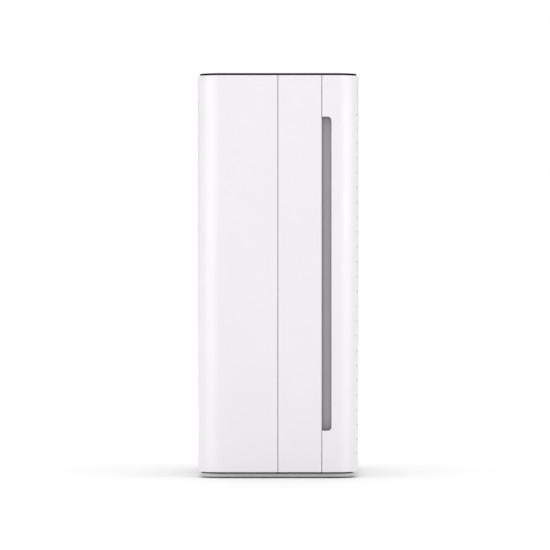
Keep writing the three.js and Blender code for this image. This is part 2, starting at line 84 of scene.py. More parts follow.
COVER_LOW, COVER_HIGH = node_box("front_cover")
REAR_LOW, REAR_HIGH = node_box("rear_shell")
MID_LOW, MID_HIGH = node_box("mid_frame")
HALF_WIDTH = COVER_HIGH.x
HALF_DEPTH = REAR_HIGH.y
BODY_BOTTOM = COVER_LOW.z
BODY_TOP = COVER_HIGH.z
HOUSING_FRONT = node_box("inner_housing")[0].y
CORNER_R = 36 # of the four vertical corners
WALL = 3
ROOF_TOP = node_box("top_deck")[0].z - 0.3
SHELL_FILLET = 0.45
FLAT_HALF = HALF_WIDTH - CORNER_R # half the flat part of the front or rear
ARC_LENGTH = CORNER_R * QUARTER
CORNER_CUTS = 14 # flat steps around a corner
LET_IN = 0.6 # how far floors, roofs and ribs reach into the wall that they join

# ---------------------------------------------------------------- mesh shapes

Shape = namedtuple("Shape", "points faces normals")
SOFT_EDGE = math.cos(math.radians(50))


def shaded(mesh):
    """A bmesh as arrays, with a normal for each face corner that is smooth across fillets."""
    bmesh.ops.recalc_face_normals(mesh, faces=mesh.faces)
    mesh.normal_update()
    mesh.verts.index_update()
    mesh.faces.index_update()
    face_normals = [face.normal.copy() for face in mesh.faces]
    weighted = [face.normal * face.calc_area() for face in mesh.faces]
    normals = []
    for face in mesh.faces:
        own = face_normals[face.index]
        for vert in face.verts:
            total = Vector()
            for other in vert.link_faces:
                if own.dot(face_normals[other.index]) > SOFT_EDGE:
                    total += weighted[other.index]
            normals.append(total.normalized())
    points = np.array([vert.co for vert in mesh.verts], float).reshape(-1, 3)
    faces = [[vert.index for vert in face.verts] for face in mesh.faces]
    mesh.free()
    return Shape(points, faces, np.array(normals, float).reshape(-1, 3))


def moved(shape, matrix):
    """A shape turned and moved; the matrix has no scale and no mirror."""
    turn = np.array(matrix.to_3x3())
    shift = np.array(matrix.to_translation())
    return Shape(shape.points @ turn.T + shift, shape.faces, shape.normals @ turn.T)


def shifted(shape, x=0, y=0, z=0):
    return moved(shape, Matrix.Translation((x, y, z)))


def facing(axis, place=(0, 0, 0)):
    """Stands a flat shape up so that its top faces along an axis, with its y along Z."""
    across = {"-y": X_AXIS, "+y": -X_AXIS, "-x": -Y_AXIS, "+x": Y_AXIS}[axis]
    out = across.cross(Z_AXIS)
    turn = Matrix((across, Z_AXIS, out)).transposed()
    return Matrix.Translation(place) @ turn.to_4x4()


def arc(radius, cx, cy, start, end, count):
    """Points along an arc between two angles."""
    angles = np.linspace(start, end, count)
    return [(cx + radius * math.cos(a), cy + radius * math.sin(a)) for a in angles]


def rounded(width, height, radius, cx=0, cy=0, steps=6):
    """Points of a rectangle with round corners."""
    points = []
    for turn, (sx, sy) in enumerate(((1, 1), (-1, 1), (-1, -1), (1, -1))):
        x = cx + sx * (width / 2 - radius)
        y = cy + sy * (height / 2 - radius)
        points += arc(radius, x, y, turn * QUARTER, (turn + 1) * QUARTER, steps + 1)
    return points


def circle(radius, cx=0, cy=0, sides=24):
    angles = [2 * math.pi * i / sides for i in range(sides)]
    return [(cx + radius * math.cos(a), cy + radius * math.sin(a)) for a in angles]


def level(outline, z):
    """The points of a plan outline at one height."""
    return [(x, y, z) for x, y in outline]


def upright(outline, y):
    """The points of an outline that stands up, at one depth."""
    return [(x, y, z) for x, z in outline]


def plate_mesh(outline, holes, thickness, fillet, steps=0):
    """A flat plate from z = -thickness to 0 with rounded edges, as a bmesh."""
    curve = bpy.data.curves.new("plate", "CURVE")
    curve.dimensions = "2D"
    curve.fill_mode = "BOTH"
    curve.extrude = thickness / 2 - fillet
    curve.bevel_depth = fillet
    curve.bevel_resolution = steps
    curve.offset = -fillet
    for points in [outline, *holes]:
        spline = curve.splines.new("POLY")
        spline.points.add(len(points) - 1)
        for point, (x, y) in zip(spline.points, points):
            point.co = (x, y, 0, 1)
        spline.use_cyclic_u = True
    carrier = bpy.data.objects.new("plate", curve)
    bpy.context.scene.collection.objects.link(carrier)
    graph = bpy.context.evaluated_depsgraph_get()
    filled = bpy.data.meshes.new_from_object(carrier.evaluated_get(graph))
    mesh = bmesh.new()
    mesh.from_mesh(filled)
    bmesh.ops.remove_doubles(mesh, verts=mesh.verts, dist=1e-4)
    bmesh.ops.translate(mesh, verts=mesh.verts, vec=(0, 0, -thickness / 2))
    bpy.data.objects.remove(carrier)
    bpy.data.curves.remove(curve)
    bpy.data.meshes.remove(filled)
    return mesh


def plate(outline, thickness, fillet=0.3, holes=(), steps=0):
    return shaded(plate_mesh(outline, list(holes), thickness, fillet, steps))


def block(low, high, fillet=0.4, steps=2):
    """A box with rounded edges between two corners."""
    low, high = Vector(low), Vector(high)
    mesh = bmesh.new()
    bmesh.ops.create_cube(mesh, size=1)
    for vert in mesh.verts:
        vert.co = Vector((low[i] + (vert.co[i] + 0.5) * (high[i] - low[i]) for i in range(3)))
    bmesh.ops.bevel(mesh, geom=mesh.edges[:], offset=fillet, segments=steps, profile=0.5, affect="EDGES")
    return shaded(mesh)


def turned(profile, sides=32):
    """A round solid about Z from a profile of (radius, z) points that starts and ends on the axis."""
    mesh = bmesh.new()
    rings = []
    for radius, z in profile:
        outline = circle(radius, sides=sides) if radius else [(0, 0)]
        rings.append([mesh.verts.new(point) for point in level(outline, z)])
    for lower, upper in zip(rings, rings[1:]):
        for i in range(sides):
            j = (i + 1) % sides
            below = [lower[i % len(lower)], lower[j % len(lower)]]
            above = [upper[j % len(upper)], upper[i % len(upper)]]
            mesh.faces.new(list(dict.fromkeys(below + above)))
    return shaded(mesh)


def drum(radius, length, chamfer=0.4, sides=32):
    """A cylinder from z = 0 to its length with small chamfers."""
    c = chamfer
    side = [(radius - c, 0), (radius, c), (radius, length - c), (radius - c, length)]
    return turned([(0, 0), *side, (0, length)], sides)


ALONG = {
    "x": Matrix.Rotation(QUARTER, 4, "Y"),
    "y": Matrix.Rotation(-QUARTER, 4, "X"),
    "-y": Matrix.Rotation(QUARTER, 4, "X"),
    "z": Matrix.Identity(4),
}


def along(axis, place):
    """The matrix that lays a shape that runs along +Z so that it runs along an axis from a place."""
    return Matrix.Translation(place) @ ALONG[axis]


def laid(shape, axis, place):
    """A shape that ran along +Z, now along an axis from a place."""
    return moved(shape, along(axis, place))


def inward_from(node):
    """The matrix that lays a shape that runs along +Z so that it runs rearwards from a node's front face."""
    centre = node_centre(node)
    return along("y", (centre.x, node_box(node)[0].y, centre.z))


def wrapped(mesh, side):
    """Bends a flat bmesh around the body: its x runs along the outline from the middle of a face.

    The front face is side 1 and the rear face is side -1.
    """
    for end in (-1, 1):
        for step in range(CORNER_CUTS + 1):
            at = end * (FLAT_HALF + ARC_LENGTH * step / CORNER_CUTS)
            parts = mesh.verts[:] + mesh.edges[:] + mesh.faces[:]
            bmesh.ops.bisect_plane(mesh, geom=parts, plane_co=(at, 0, 0), plane_no=(1, 0, 0))
    flat = shaded(mesh)
    run, height, lift = flat.points.T
    sign = np.sign(run)
    beyond = np.clip(np.abs(run) - FLAT_HALF, 0, None)
    angle = np.clip(beyond / CORNER_R, 0, QUARTER)
    straight = np.clip(beyond - ARC_LENGTH, 0, None)
    out_x, out_y = sign * np.sin(angle), -np.cos(angle)
    x = sign * np.minimum(np.abs(run), FLAT_HALF) + (CORNER_R + lift) * out_x
    y = -(HALF_DEPTH - CORNER_R) + (CORNER_R + lift) * out_y + straight
    points = np.stack((side * x, side * y, height), axis=1)
    corner_points = np.concatenate([np.array(face) for face in flat.faces])
    nx, nz, lifted = flat.normals.T
    ox, oy = out_x[corner_points], out_y[corner_points]
    normals = np.stack((side * (lifted * ox - nx * oy), side * (lifted * oy + nx * ox), nz), axis=1)
    return Shape(points, flat.faces, normals)


def build(name, shapes, material, body="cabinet", nodes=()):
    """One object from several shapes, riding on a body and standing for CAD nodes."""
    counts = np.cumsum([0] + [len(shape.points) for shape in shapes])
    points = np.concatenate([shape.points for shape in shapes]) * MM
    faces = [[int(v + first) for v in face] for shape, first in zip(shapes, counts) for face in shape.faces]
    data = bpy.data.meshes.new(name)
    data.from_pydata(points.tolist(), [], faces)
    data.polygons.foreach_set("use_smooth", [True] * len(faces))
    data.normals_split_custom_set(np.concatenate([shape.normals for shape in shapes]).tolist())
    data.materials.append(material)
    piece = bpy.data.objects.new(name, data)
    bpy.context.scene.collection.objects.link(piece)
    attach(piece, body)
    if nodes:
        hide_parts(*nodes)
    return piece


# ---------------------------------------------------------------- materials


class Nodes:
    """A small helper that adds and links shader nodes."""

    def __init__(self, name):
        self.material = bpy.data.materials.new(name)
        self.material.use_nodes = True
        self.tree = self.material.node_tree
        self.shader = self.tree.nodes["Principled BSDF"]
        self.position = self.add("ShaderNodeTexCoord").outputs["Object"]

    def add(self, kind, **settings):
        node = self.tree.nodes.new(kind)
        for key, value in settings.items():
            setattr(node, key, value)
        return node

    def link(self, source, target):
        self.tree.links.new(source, target)

    def stretched(self, scale):
        mapping = self.add("ShaderNodeMapping")
        mapping.inputs["Scale"].default_value = scale
        self.link(self.position, mapping.inputs["Vector"])
        return mapping.outputs["Vector"]

    def noise(self, scale, detail=2, roughness=0.5, vector=None):
        node = self.add("ShaderNodeTexNoise")
        node.inputs["Scale"].default_value = scale
        node.inputs["Detail"].default_value = detail
        node.inputs["Roughness"].default_value = roughness
        self.link(vector or self.position, node.inputs["Vector"])
        return node.outputs["Fac"]

    def ramp(self, value, low, high, start=0.3, end=0.7):
        node = self.add("ShaderNodeMapRange")
        node.inputs["From Min"].default_value = start
        node.inputs["From Max"].default_value = end
        node.inputs["To Min"].default_value = low
        node.inputs["To Max"].default_value = high
        self.link(value, node.inputs["Value"])
        return node.outputs["Result"]

    def mix(self, factor, first, second):
        node = self.add("ShaderNodeMix", data_type="RGBA")
        for socket, value in (("Factor", factor), ("A", first), ("B", second)):
            named = [s for s in node.inputs if s.name == socket]
            target = next(s for s in named if s.type == "RGBA" or socket == "Factor")
            if isinstance(value, bpy.types.NodeSocket):
                self.link(value, target)
            else:
                target.default_value = (*value, 1)
        return next(s for s in node.outputs if s.type == "RGBA")

    def bump(self, height, strength, distance, normal=None):
        node = self.add("ShaderNodeBump")
        node.inputs["Strength"].default_value = strength
        node.inputs["Distance"].default_value = distance
        self.link(height, node.inputs["Height"])
        if normal:
            self.link(normal, node.inputs["Normal"])
        return node.outputs["Normal"]

    def edges(self, width=0.0007):
        """Where the surface turns sharply within a small distance, from 0 to 1."""
        geometry = self.add("ShaderNodeNewGeometry")
        softened = self.add("ShaderNodeBevel", samples=4)
        softened.inputs["Radius"].default_value = width
        likeness = self.add("ShaderNodeVectorMath", operation="DOT_PRODUCT")
        self.link(softened.outputs["Normal"], likeness.inputs[0])
        self.link(geometry.outputs["Normal"], likeness.inputs[1])
        return self.ramp(likeness.outputs["Value"], 1, 0, 0.75, 0.99)

    def crevice_shade(self, distance, deep, open_air, from_above=0):
        """Painted shade: how deep the surface lies in a narrow gap or hole, from 0 to 1.

        With from_above, what lies above the surface shelters it more than what lies below, as if the light
        fell from above.
        """
        geometry = self.add("ShaderNodeNewGeometry")
        raised = self.add("ShaderNodeVectorMath", operation="ADD")
        raised.inputs[1].default_value = (0, 0, from_above)
        self.link(geometry.outputs["Normal"], raised.inputs[0])
        shelter = self.add("ShaderNodeAmbientOcclusion", samples=8)
        shelter.inputs["Distance"].default_value = distance
        self.link(raised.outputs["Vector"], shelter.inputs["Normal"])
        return self.ramp(shelter.outputs["AO"], 1, 0, deep, open_air)

    def finish(self, color, roughness, normal, **constants):
        self.link(color, self.shader.inputs["Base Color"])
        self.link(roughness, self.shader.inputs["Roughness"])
        self.link(normal, self.shader.inputs["Normal"])
        for socket, value in constants.items():
            self.shader.inputs[socket.replace("_", " ")].default_value = value
        return self.material


def shade(color, factor):
    return tuple(min(1, channel * factor) for channel in color)


def moulded(name, color, roughness=0.42, grain=1400, depth=0.00003, spread=0.02, wear=1.06,
            dust=None, reach=(0.004, 0.3, 0.8), **constants):
    """Injection-moulded plastic: spark-eroded grain, faint flow marks, polished edges, and where asked,
    painted shade in gaps and holes.
    """
    n = Nodes(name)
    broad = n.noise(7, 3, 0.6)
    speckle = n.noise(grain / 3, 2, 0.6)
    base = n.mix(n.ramp(broad, 0, 1), shade(color, 1 - spread), shade(color, 1 + spread))
    base = n.mix(n.ramp(speckle, 0, 0.35, 0.35, 0.75), base, shade(color, 1 - 2 * spread))
    base = n.mix(n.edges(), base, shade(color, wear))
    # Painted shade: darker where the surface lies deep in gaps and holes.
    if dust:
        base = n.mix(n.crevice_shade(*reach), base, shade(color, dust))
    gloss = n.ramp(n.noise(24, 4, 0.65), roughness - 0.05, roughness + 0.06)
    grain_bump = n.bump(n.noise(grain, 2, 0.7), 0.35, depth)
    waves = n.bump(n.noise(9, 2, 0.5), 0.08, 0.0004, grain_bump)
    return n.finish(base, gloss, waves, **constants)


def polished_black(name, color):
    """Back-painted black glass: polished, with faint dust and wipe marks."""
    n = Nodes(name)
    wipe = n.noise(5, 4, 0.6, n.stretched((1, 4, 1)))
    dust = n.ramp(n.noise(900, 2, 0.5), 0, 0.5, 0.68, 0.8)
    base = n.mix(dust, color, shade(color, 3))
    gloss = n.ramp(wipe, 0.05, 0.14)
    flat = n.bump(n.noise(3, 1, 0.4), 0.03, 0.0003)
    return n.finish(base, gloss, flat, Specular_IOR_Level=0.06)


def soft_rubber(name, color):
    n = Nodes(name)
    base = n.mix(n.ramp(n.noise(60, 4, 0.6), 0, 1), shade(color, 0.75), shade(color, 1.5))
    base = n.mix(n.edges(), base, shade(color, 2.2))
    gloss = n.ramp(n.noise(40, 3, 0.5), 0.72, 0.9)
    return n.finish(base, gloss, n.bump(n.noise(700, 3, 0.6), 0.4, 0.0001))


def zinc_sheet(name, color, brushed=(1, 1, 1)):
    """Galvanised or brushed sheet: spangle cells, rolling lines and bright worn edges."""
    n = Nodes(name)
    cells = n.add("ShaderNodeTexVoronoi")
    cells.inputs["Scale"].default_value = 150
    n.link(n.position, cells.inputs["Vector"])
    spangle = n.ramp(cells.outputs["Color"], 0, 1, 0.1, 0.9)
    lines = n.noise(60, 3, 0.6, n.stretched(brushed))
    base = n.mix(spangle, shade(color, 0.82), shade(color, 1.1))
    base = n.mix(n.ramp(lines, 0, 0.5), base, shade(color, 0.9))
    base = n.mix(n.edges(), base, shade(color, 1.3))
    gloss = n.ramp(lines, 0.26, 0.46)
    return n.finish(base, gloss, n.bump(lines, 0.15, 0.00008), Metallic=0.95)


def drawn_metal(name, color, roughness, lines=(1, 1, 30)):
    """Turned, drawn or extruded metal with fine lines across it."""
    n = Nodes(name)
    strokes = n.noise(120, 3, 0.65, n.stretched(lines))
    stain = n.noise(30, 4, 0.6)
    base = n.mix(n.ramp(stain, 0, 1), shade(color, 0.8), shade(color, 1.08))
    base = n.mix(n.edges(), base, shade(color, 1.3))
    gloss = n.ramp(strokes, roughness - 0.1, roughness + 0.12)
    return n.finish(base, gloss, n.bump(strokes, 0.2, 0.00004), Metallic=1)


def circuit_board(name, color):
    """Solder mask over copper traces and pads."""
    n = Nodes(name)
    traces = n.add("ShaderNodeTexBrick")
    traces.inputs["Scale"].default_value = 90
    traces.inputs["Mortar Size"].default_value = 0.012
    traces.inputs["Color1"].default_value = (*shade(color, 0.8), 1)
    traces.inputs["Color2"].default_value = (*color, 1)
    traces.inputs["Mortar"].default_value = (*shade(color, 2.2), 1)
    n.link(n.position, traces.inputs["Vector"])
    base = n.mix(n.ramp(n.noise(20, 3, 0.5), 0, 0.4), traces.outputs["Color"], shade(color, 0.7))
    gloss = n.ramp(n.noise(80, 2, 0.5), 0.28, 0.42)
    return n.finish(base, gloss, n.bump(traces.outputs["Fac"], 0.3, 0.00005))


def shrink_wrap(name, color):
    """Blue heat-shrunk film over an aluminium can."""
    n = Nodes(name)
    creases = n.noise(35, 4, 0.65, n.stretched((1, 3, 1)))
    base = n.mix(n.ramp(creases, 0, 1), shade(color, 0.85), shade(color, 1.15))
    base = n.mix(n.edges(), base, shade(color, 1.5))
    gloss = n.ramp(n.noise(50, 3, 0.6), 0.22, 0.38)
    return n.finish(base, gloss, n.bump(creases, 0.2, 0.0002), Coat_Weight=0.3, Coat_Roughness=0.15)


COLORS = {m["slot"]: tuple(m["base_color"][:3]) for m in frame["record"]["materials"]}
# For each slot: its maker, a factor on the record's base colour, and settings. The white shell and the grey
# housing get painted shade in their gaps and holes; the housing's is darker under overhangs, as if lit from
# above.
FINISHES = {
    "white_shell": (moulded, 0.965, {
        "roughness": 0.335, "spread": 0.008, "wear": 1.03, "dust": 0.12, "Specular_IOR_Level": 0.65}),
    "plinth_white": (moulded, 1, {"roughness": 0.5, "spread": 0.012, "wear": 1.03}),
    "grey_plastic": (moulded, 1.1, {
        "roughness": 0.55, "spread": 0.03, "dust": 0.45, "reach": (0.01, 0.7, 0.97, 0.6)}),
    "dark_plastic": (moulded, 1, {"roughness": 0.5, "spread": 0.06, "wear": 1.4}),
    "black_plastic": (moulded, 1, {"roughness": 0.45, "spread": 0.08, "wear": 1.8}),
    "light_plastic": (moulded, 1, {"roughness": 0.4, "spread": 0.02}),
    "black_glass": (polished_black, 1, {}),
    "rubber": (soft_rubber, 1, {}),
    "circuit_board": (circuit_board, 1, {}),
    "sheet_steel": (zinc_sheet, 1, {"brushed": (1, 12, 1)}),
    "pin_steel": (drawn_metal, 1, {"roughness": 0.3, "lines": (30, 1, 1)}),
    "aluminium_fins": (drawn_metal, 1, {"roughness": 0.35, "lines": (30, 30, 1)}),
    "cell_wrap": (shrink_wrap, 1, {}),
    "copper": (drawn_metal, 1, {"roughness": 0.32}),
    "brass": (drawn_metal, 1, {"roughness": 0.3}),
    "fuse_body": (moulded, 1, {"roughness": 0.3, "grain": 300, "spread": 0.05}),
}
MATERIALS = {
    slot: maker(slot, shade(COLORS[slot], tone), **settings)
    for slot, (maker, tone, settings) in FINISHES.items()
}
for entry in frame["record"]["subparts"]:
    node = frame["nodes"][entry["node"]]
    node.data.materials.clear()
    node.data.materials.append(MATERIALS[entry["material_slot"]])


def made(name, shapes, slot, body="cabinet", nodes=()):
    return build(name, shapes, MATERIALS[slot], body, nodes)


def stand_in(node, suffix, shapes, slot, body="cabinet"):
    """The piece that shows in place of one CAD node."""
    return made(f"{node}_{suffix}", shapes, slot, body, [node])


# ---------------------------------------------------------------- outer shells


def run_to(y):
    """How far along the outline, from the middle of the front, a point on the side lies."""
    return FLAT_HALF + ARC_LENGTH + (y + HALF_DEPTH - CORNER_R)


def end_outline(inset, seam_y, side):
    """Plan outline of the shell in front of a seam (side 1) or behind it (side -1)."""
    half = HALF_WIDTH - inset
    radius = CORNER_R - inset
    centre_y = CORNER_R - HALF_DEPTH
    points = [(half, -side * seam_y)]
    points += arc(radius, FLAT_HALF, centre_y, 4 * QUARTER, 3 * QUARTER, CORNER_CUTS + 1)
    points += arc(radius, -FLAT_HALF, centre_y, 3 * QUARTER, 2 * QUARTER, CORNER_CUTS + 1)
    points.append((-half, -side * seam_y))
    return [(side * x, side * y) for x, y in points]


def end_plates(outline):
    """The floor and the roof of a shell, let into its wall."""
    flat = plate(outline, WALL, SHELL_FILLET)
    return [shifted(flat, z=BODY_BOTTOM + WALL), shifted(flat, z=ROOF_TOP)]


# Fine air holes in the front, in staggered columns that run on around both corners.
HOLE_R = 1.4
HOLE_SIDES = 12
COLUMN_PITCH = 11
LAST_COLUMN = 16 # counted from the middle of the front
ROW_PITCH = 22.2
END_PITCH = 20 # from the first and last rows to their neighbours
ROWS = 24
ROW_MIDDLE = 289.8 # height of the middle of the pattern


def row_heights():
    """Heights of the rows; the first and last are drawn in a little."""
    inner = [(i - (ROWS - 3) / 2) * ROW_PITCH for i in range(ROWS - 2)]
    heights = [inner[0] - END_PITCH, *inner, inner[-1] + END_PITCH]
    return [ROW_MIDDLE + height for height in heights]


def air_holes():
    rows = row_heights()
    between = [(low + high) / 2 for low, high in zip(rows, rows[1:])]
    holes = []
    for column in range(-LAST_COLUMN, LAST_COLUMN + 1):
        for height in rows if column % 2 == 0 else between:
            holes.append(circle(HOLE_R, column * COLUMN_PITCH, height, HOLE_SIDES))
    return holes


# The long slot in each side: a notch in the rear edge of the front cover.
SLOT_FRONT_Y = -79.3
SLOT_LOW = 71
SLOT_HIGH = 539
SLOT_R = 5.5
SLOT_CUTS = 6


def cover_outline():
    """The unrolled wall of the front cover, with a long notch in each rear edge."""
    edge = run_to(COVER_HIGH.y)
    bend = run_to(SLOT_FRONT_Y) + SLOT_R
    right = [
        (edge, BODY_BOTTOM),
        (edge, SLOT_LOW),
        *arc(SLOT_R, bend, SLOT_LOW + SLOT_R, 3 * QUARTER, 2 * QUARTER, SLOT_CUTS + 1),
        *arc(SLOT_R, bend, SLOT_HIGH - SLOT_R, 2 * QUARTER, QUARTER, SLOT_CUTS + 1),
        (edge, SLOT_HIGH),
        (edge, BODY_TOP),
    ]
    left = [(-run, z) for run, z in reversed(right)]
    return right + left


CLIP_PLACES = [(x, z) for x in (-150, 150) for z in (60, 550)]


def clip_post(x, z):
    """A post with a wide foot and a barbed nose that plugs into the housing."""
    front = COVER_LOW.y + WALL - 0.5
    shoulder = HOUSING_FRONT - 0.3 - front
    tip = shoulder + 4.3
    foot = [(0, 0), (7, 0), (5, 2)]
    barb = [(5, shoulder - 0.4), (4.6, shoulder), (3, shoulder), (3, tip - 0.8), (2.2, tip), (0, tip)]
    return laid(turned(foot + barb, 24), "y", (x, front, z))


def front_cover():
    wall = wrapped(plate_mesh(cover_outline(), air_holes(), WALL, SHELL_FILLET), 1)
    ends = end_plates(end_outline(WALL - LET_IN, -COVER_HIGH.y, 1))
    posts = [clip_post(x, z) for x, z in CLIP_PLACES]
    stand_in("front_cover", "shell", [wall, *ends, *posts], "white_shell", "front_cover")


# The ribs behind the rear seams; the last three are places measured rearwards from the seam.
TONGUE_T = 1.3
TONGUE_GAP = 0.3 # clearance to the wall of the rear shell
TONGUE_FOOT = -6 # where the rib starts
TONGUE_ROOT = -1 # where it leaves its own wall
TONGUE_TIP = 5 # where it ends


def seam_tongues():
    """Ribs inside the middle band that reach behind the rear seam, so that it isn't open to the inside."""
    inner = HALF_WIDTH - WALL
    low = BODY_BOTTOM + WALL + 1
    high = ROOF_TOP - WALL - 1
    ribs = []
    for side in (-1, 1):
        for end, outer in ((TONGUE_TIP, inner - TONGUE_GAP), (TONGUE_ROOT, inner + LET_IN)):
            near, far = sorted((side * (inner - TONGUE_GAP - TONGUE_T), side * outer))
            ribs.append(block((near, MID_HIGH.y + TONGUE_FOOT, low), (far, MID_HIGH.y + end, high), 0.3))
    return ribs


def mid_frame():
    depth = MID_HIGH.y - MID_LOW.y
    centre = (MID_HIGH.y + MID_LOW.y) / 2
    corner_r = 0.5
    side = rounded(depth, BODY_TOP - BODY_BOTTOM, corner_r, 0, (BODY_BOTTOM + BODY_TOP) / 2, 1)
    walls = [panel(axis, (x, centre, 0), side, WALL, SHELL_FILLET)
             for axis, x in (("+x", HALF_WIDTH), ("-x", -HALF_WIDTH))]
    ends = end_plates(rounded(2 * (HALF_WIDTH - WALL + LET_IN), depth, corner_r, 0, centre, 1))
    stand_in("mid_frame", "band", [*walls, *ends, *seam_tongues()], "white_shell")


# Louvres, rail pocket, terminal window and screws of the rear shell.
LOUVRE_LENGTH = 76
LOUVRE_HEIGHT = 4
LOUVRE_PITCH_X = 90
LOUVRE_PITCH_Z = 12
LOUVRE_LOW = 424
LOUVRE_ROWS = 12
POCKET = {"half": 155, "low": 336, "high": 400, "depth": 11, "radius": 4}
WINDOW = {"half": 110, "low": 34, "high": 104, "radius": 0.8}
SCREW_PLACES = [(x, z) for x in (-158, 158) for z in (26, 300, 574)]
SCREW_SEAT_R = 4.4


def rear_openings():
    rows = [LOUVRE_LOW + row * LOUVRE_PITCH_Z for row in range(LOUVRE_ROWS)]
    columns = [column * LOUVRE_PITCH_X for column in (-1, 0, 1)]
    end_r = LOUVRE_HEIGHT / 2 - 0.05
    openings = [rounded(LOUVRE_LENGTH, LOUVRE_HEIGHT, end_r, x, z, 4) for z in rows for x in columns]
    for opening, steps in ((POCKET, 6), (WINDOW, 2)):
        height = opening["high"] - opening["low"]
        middle = (opening["low"] + opening["high"]) / 2
        openings.append(rounded(2 * opening["half"], height, opening["radius"], 0, middle, steps))
    openings += [circle(SCREW_SEAT_R, x, z) for x, z in SCREW_PLACES]
    return openings


def loop_rings(rings, close_ends=True):
    """A closed skin over a stack of equal rings of points."""
    mesh = bmesh.new()
    rows = [[mesh.verts.new(point) for point in ring] for ring in rings]
    count = len(rows[0])
    if close_ends:
        mesh.faces.new(list(reversed(rows[0])))
        mesh.faces.new(rows[-1])
    else:
        rows.append(rows[0])
    for lower, upper in zip(rows, rows[1:]):
        for i in range(count):
            j = (i + 1) % count
            mesh.faces.new((lower[i], lower[j], upper[j], upper[i]))
    return shaded(mesh)


def tub(half, low, high, rear, floor, radius, wall, foot=1.5):
    """A tray that opens to the rear, with a round foot inside; sizes are those of its hollow."""

    def ring(grow, y):
        corner = max(radius + grow, 0.5)
        outline = rounded(2 * (half + grow), high - low + 2 * grow, corner, 0, (low + high) / 2)
        return upright(outline, y)

    bend = arc(foot, -foot, floor + foot, 0, -QUARTER, 5)
    path = [(wall - foot, floor - wall), (wall, floor - wall + foot), (wall, rear), (0, rear), *bend]
    return loop_rings([ring(grow, y) for grow, y in path])


def pocket_tub():
    """The tray behind the rail."""
    return tub(POCKET["half"], POCKET["low"], POCKET["high"], HALF_DEPTH - 1, HALF_DEPTH - POCKET["depth"],
               POCKET["radius"], WALL)


def rear_shell():
    edge = run_to(-REAR_LOW.y)
    outline = [(edge, BODY_BOTTOM), (edge, BODY_TOP), (-edge, BODY_TOP), (-edge, BODY_BOTTOM)]
    wall = wrapped(plate_mesh(outline, rear_openings(), WALL, SHELL_FILLET), -1)
    ends = end_plates(end_outline(WALL - LET_IN, -REAR_LOW.y, -1))
    stand_in("rear_shell", "body", [wall, pocket_tub(), *ends], "white_shell")
    screws = [laid(socket_screw(), "y", (-x, HALF_DEPTH - WALL - 1.2, z)) for x, z in SCREW_PLACES]
    made("rear_screws", screws, "pin_steel")


def socket_screw(radius=4, height=3.4, socket=2.2, sides=24):
    """A screw head with a six-sided socket, from z = 0 up."""
    steps = sides // 6

    def hexagon(corner_r, z):
        corners = circle(corner_r, sides=6)
        points = []
        for (x0, y0), (x1, y1) in zip(corners, corners[1:] + corners[:1]):
            points += [(x0 + (x1 - x0) * i / steps, y0 + (y1 - y0) * i / steps) for i in range(steps)]
        return level(points, z)

    head = [(radius, 0), (radius, height - 0.5), (radius - 0.5, height)]
    recess = [(socket + 0.25, height), (socket, height - 0.25), (socket, height - 2)]
    loops = [level(circle(ring_r, sides=sides), z) for ring_r, z in head]
    return loop_rings(loops + [hexagon(corner_r, z) for corner_r, z in recess])


# ---------------------------------------------------------------- top and base


def outline_ring(inset, z):
    width = 2 * (HALF_WIDTH - inset)
    depth = 2 * (HALF_DEPTH - inset)
    return level(rounded(width, depth, CORNER_R - inset, steps=CORNER_CUTS), z)


def top_glass():
    low, high = node_box("top_glass")
    inset = HALF_WIDTH - high.x
    fillet = 0.6
    foot = 0.3
    path = [(inset + foot, low.z), (inset, low.z + foot)]
    path += arc(fillet, inset + fillet, high.z - fillet, 2 * QUARTER, QUARTER, 6)
    rings = [outline_ring(edge, z) for edge, z in path]
    stand_in("top_glass", "panel", [loop_rings(rings)], "black_glass")


def plinth():
    """A low white step with a neck that stands back from it, made dark to paint in the shade of the gap under
    the body.
    """
    low, high = node_box("plinth")
    corner_r = 28
    step_top = 6.5
    neck_inset = 12
    edge = 0.6

    def ring(inset, z):
        width = high.x - low.x - 2 * inset
        depth = high.y - low.y - 2 * inset
        return level(rounded(width, depth, corner_r - inset, 0, (low.y + high.y) / 2, CORNER_CUTS), z)

    path = [(edge, low.z), (0, low.z + edge), (0, step_top - edge), (edge, step_top),
            (neck_inset + edge, step_top), (neck_inset + edge, step_top - 1)]
    base = loop_rings([ring(inset, z) for inset, z in path])
    neck = loop_rings([ring(neck_inset, step_top - 0.4), ring(neck_inset, high.z)])
    stand_in("plinth", "base", [base], "plinth_white")
    # Painted shade: the dark neck stands for the shade in the gap under the body.
    made("plinth_neck", [neck], "dark_plastic")


FEET = ["foot_front_left", "foot_front_right", "foot_rear_left", "foot_rear_right"]


def feet():
    for name in FEET:
        low, high = node_box(name)
        radius = (high.x - low.x) / 2
        height = high.z - low.z
        hollow = [(0, 0.5), (radius * 0.3, 0.5), (radius * 0.36, 0)]
        side = [(radius - 0.8, 0), (radius, 0.8), (radius, height), (0, height)]
        centre = (low + high) / 2
        pad = shifted(turned(hollow + side, 40), centre.x, centre.y, low.z)
        stand_in(name, "pad", [pad], "rubber")


# ---------------------------------------------------------------- deck and display under the glass


def components(name, slot, boxes, fillet=0.2):
    """Small rounded boxes, such as the parts on a circuit board."""
    return made(name, [block(low, high, fillet, 1) for low, high in boxes], slot)


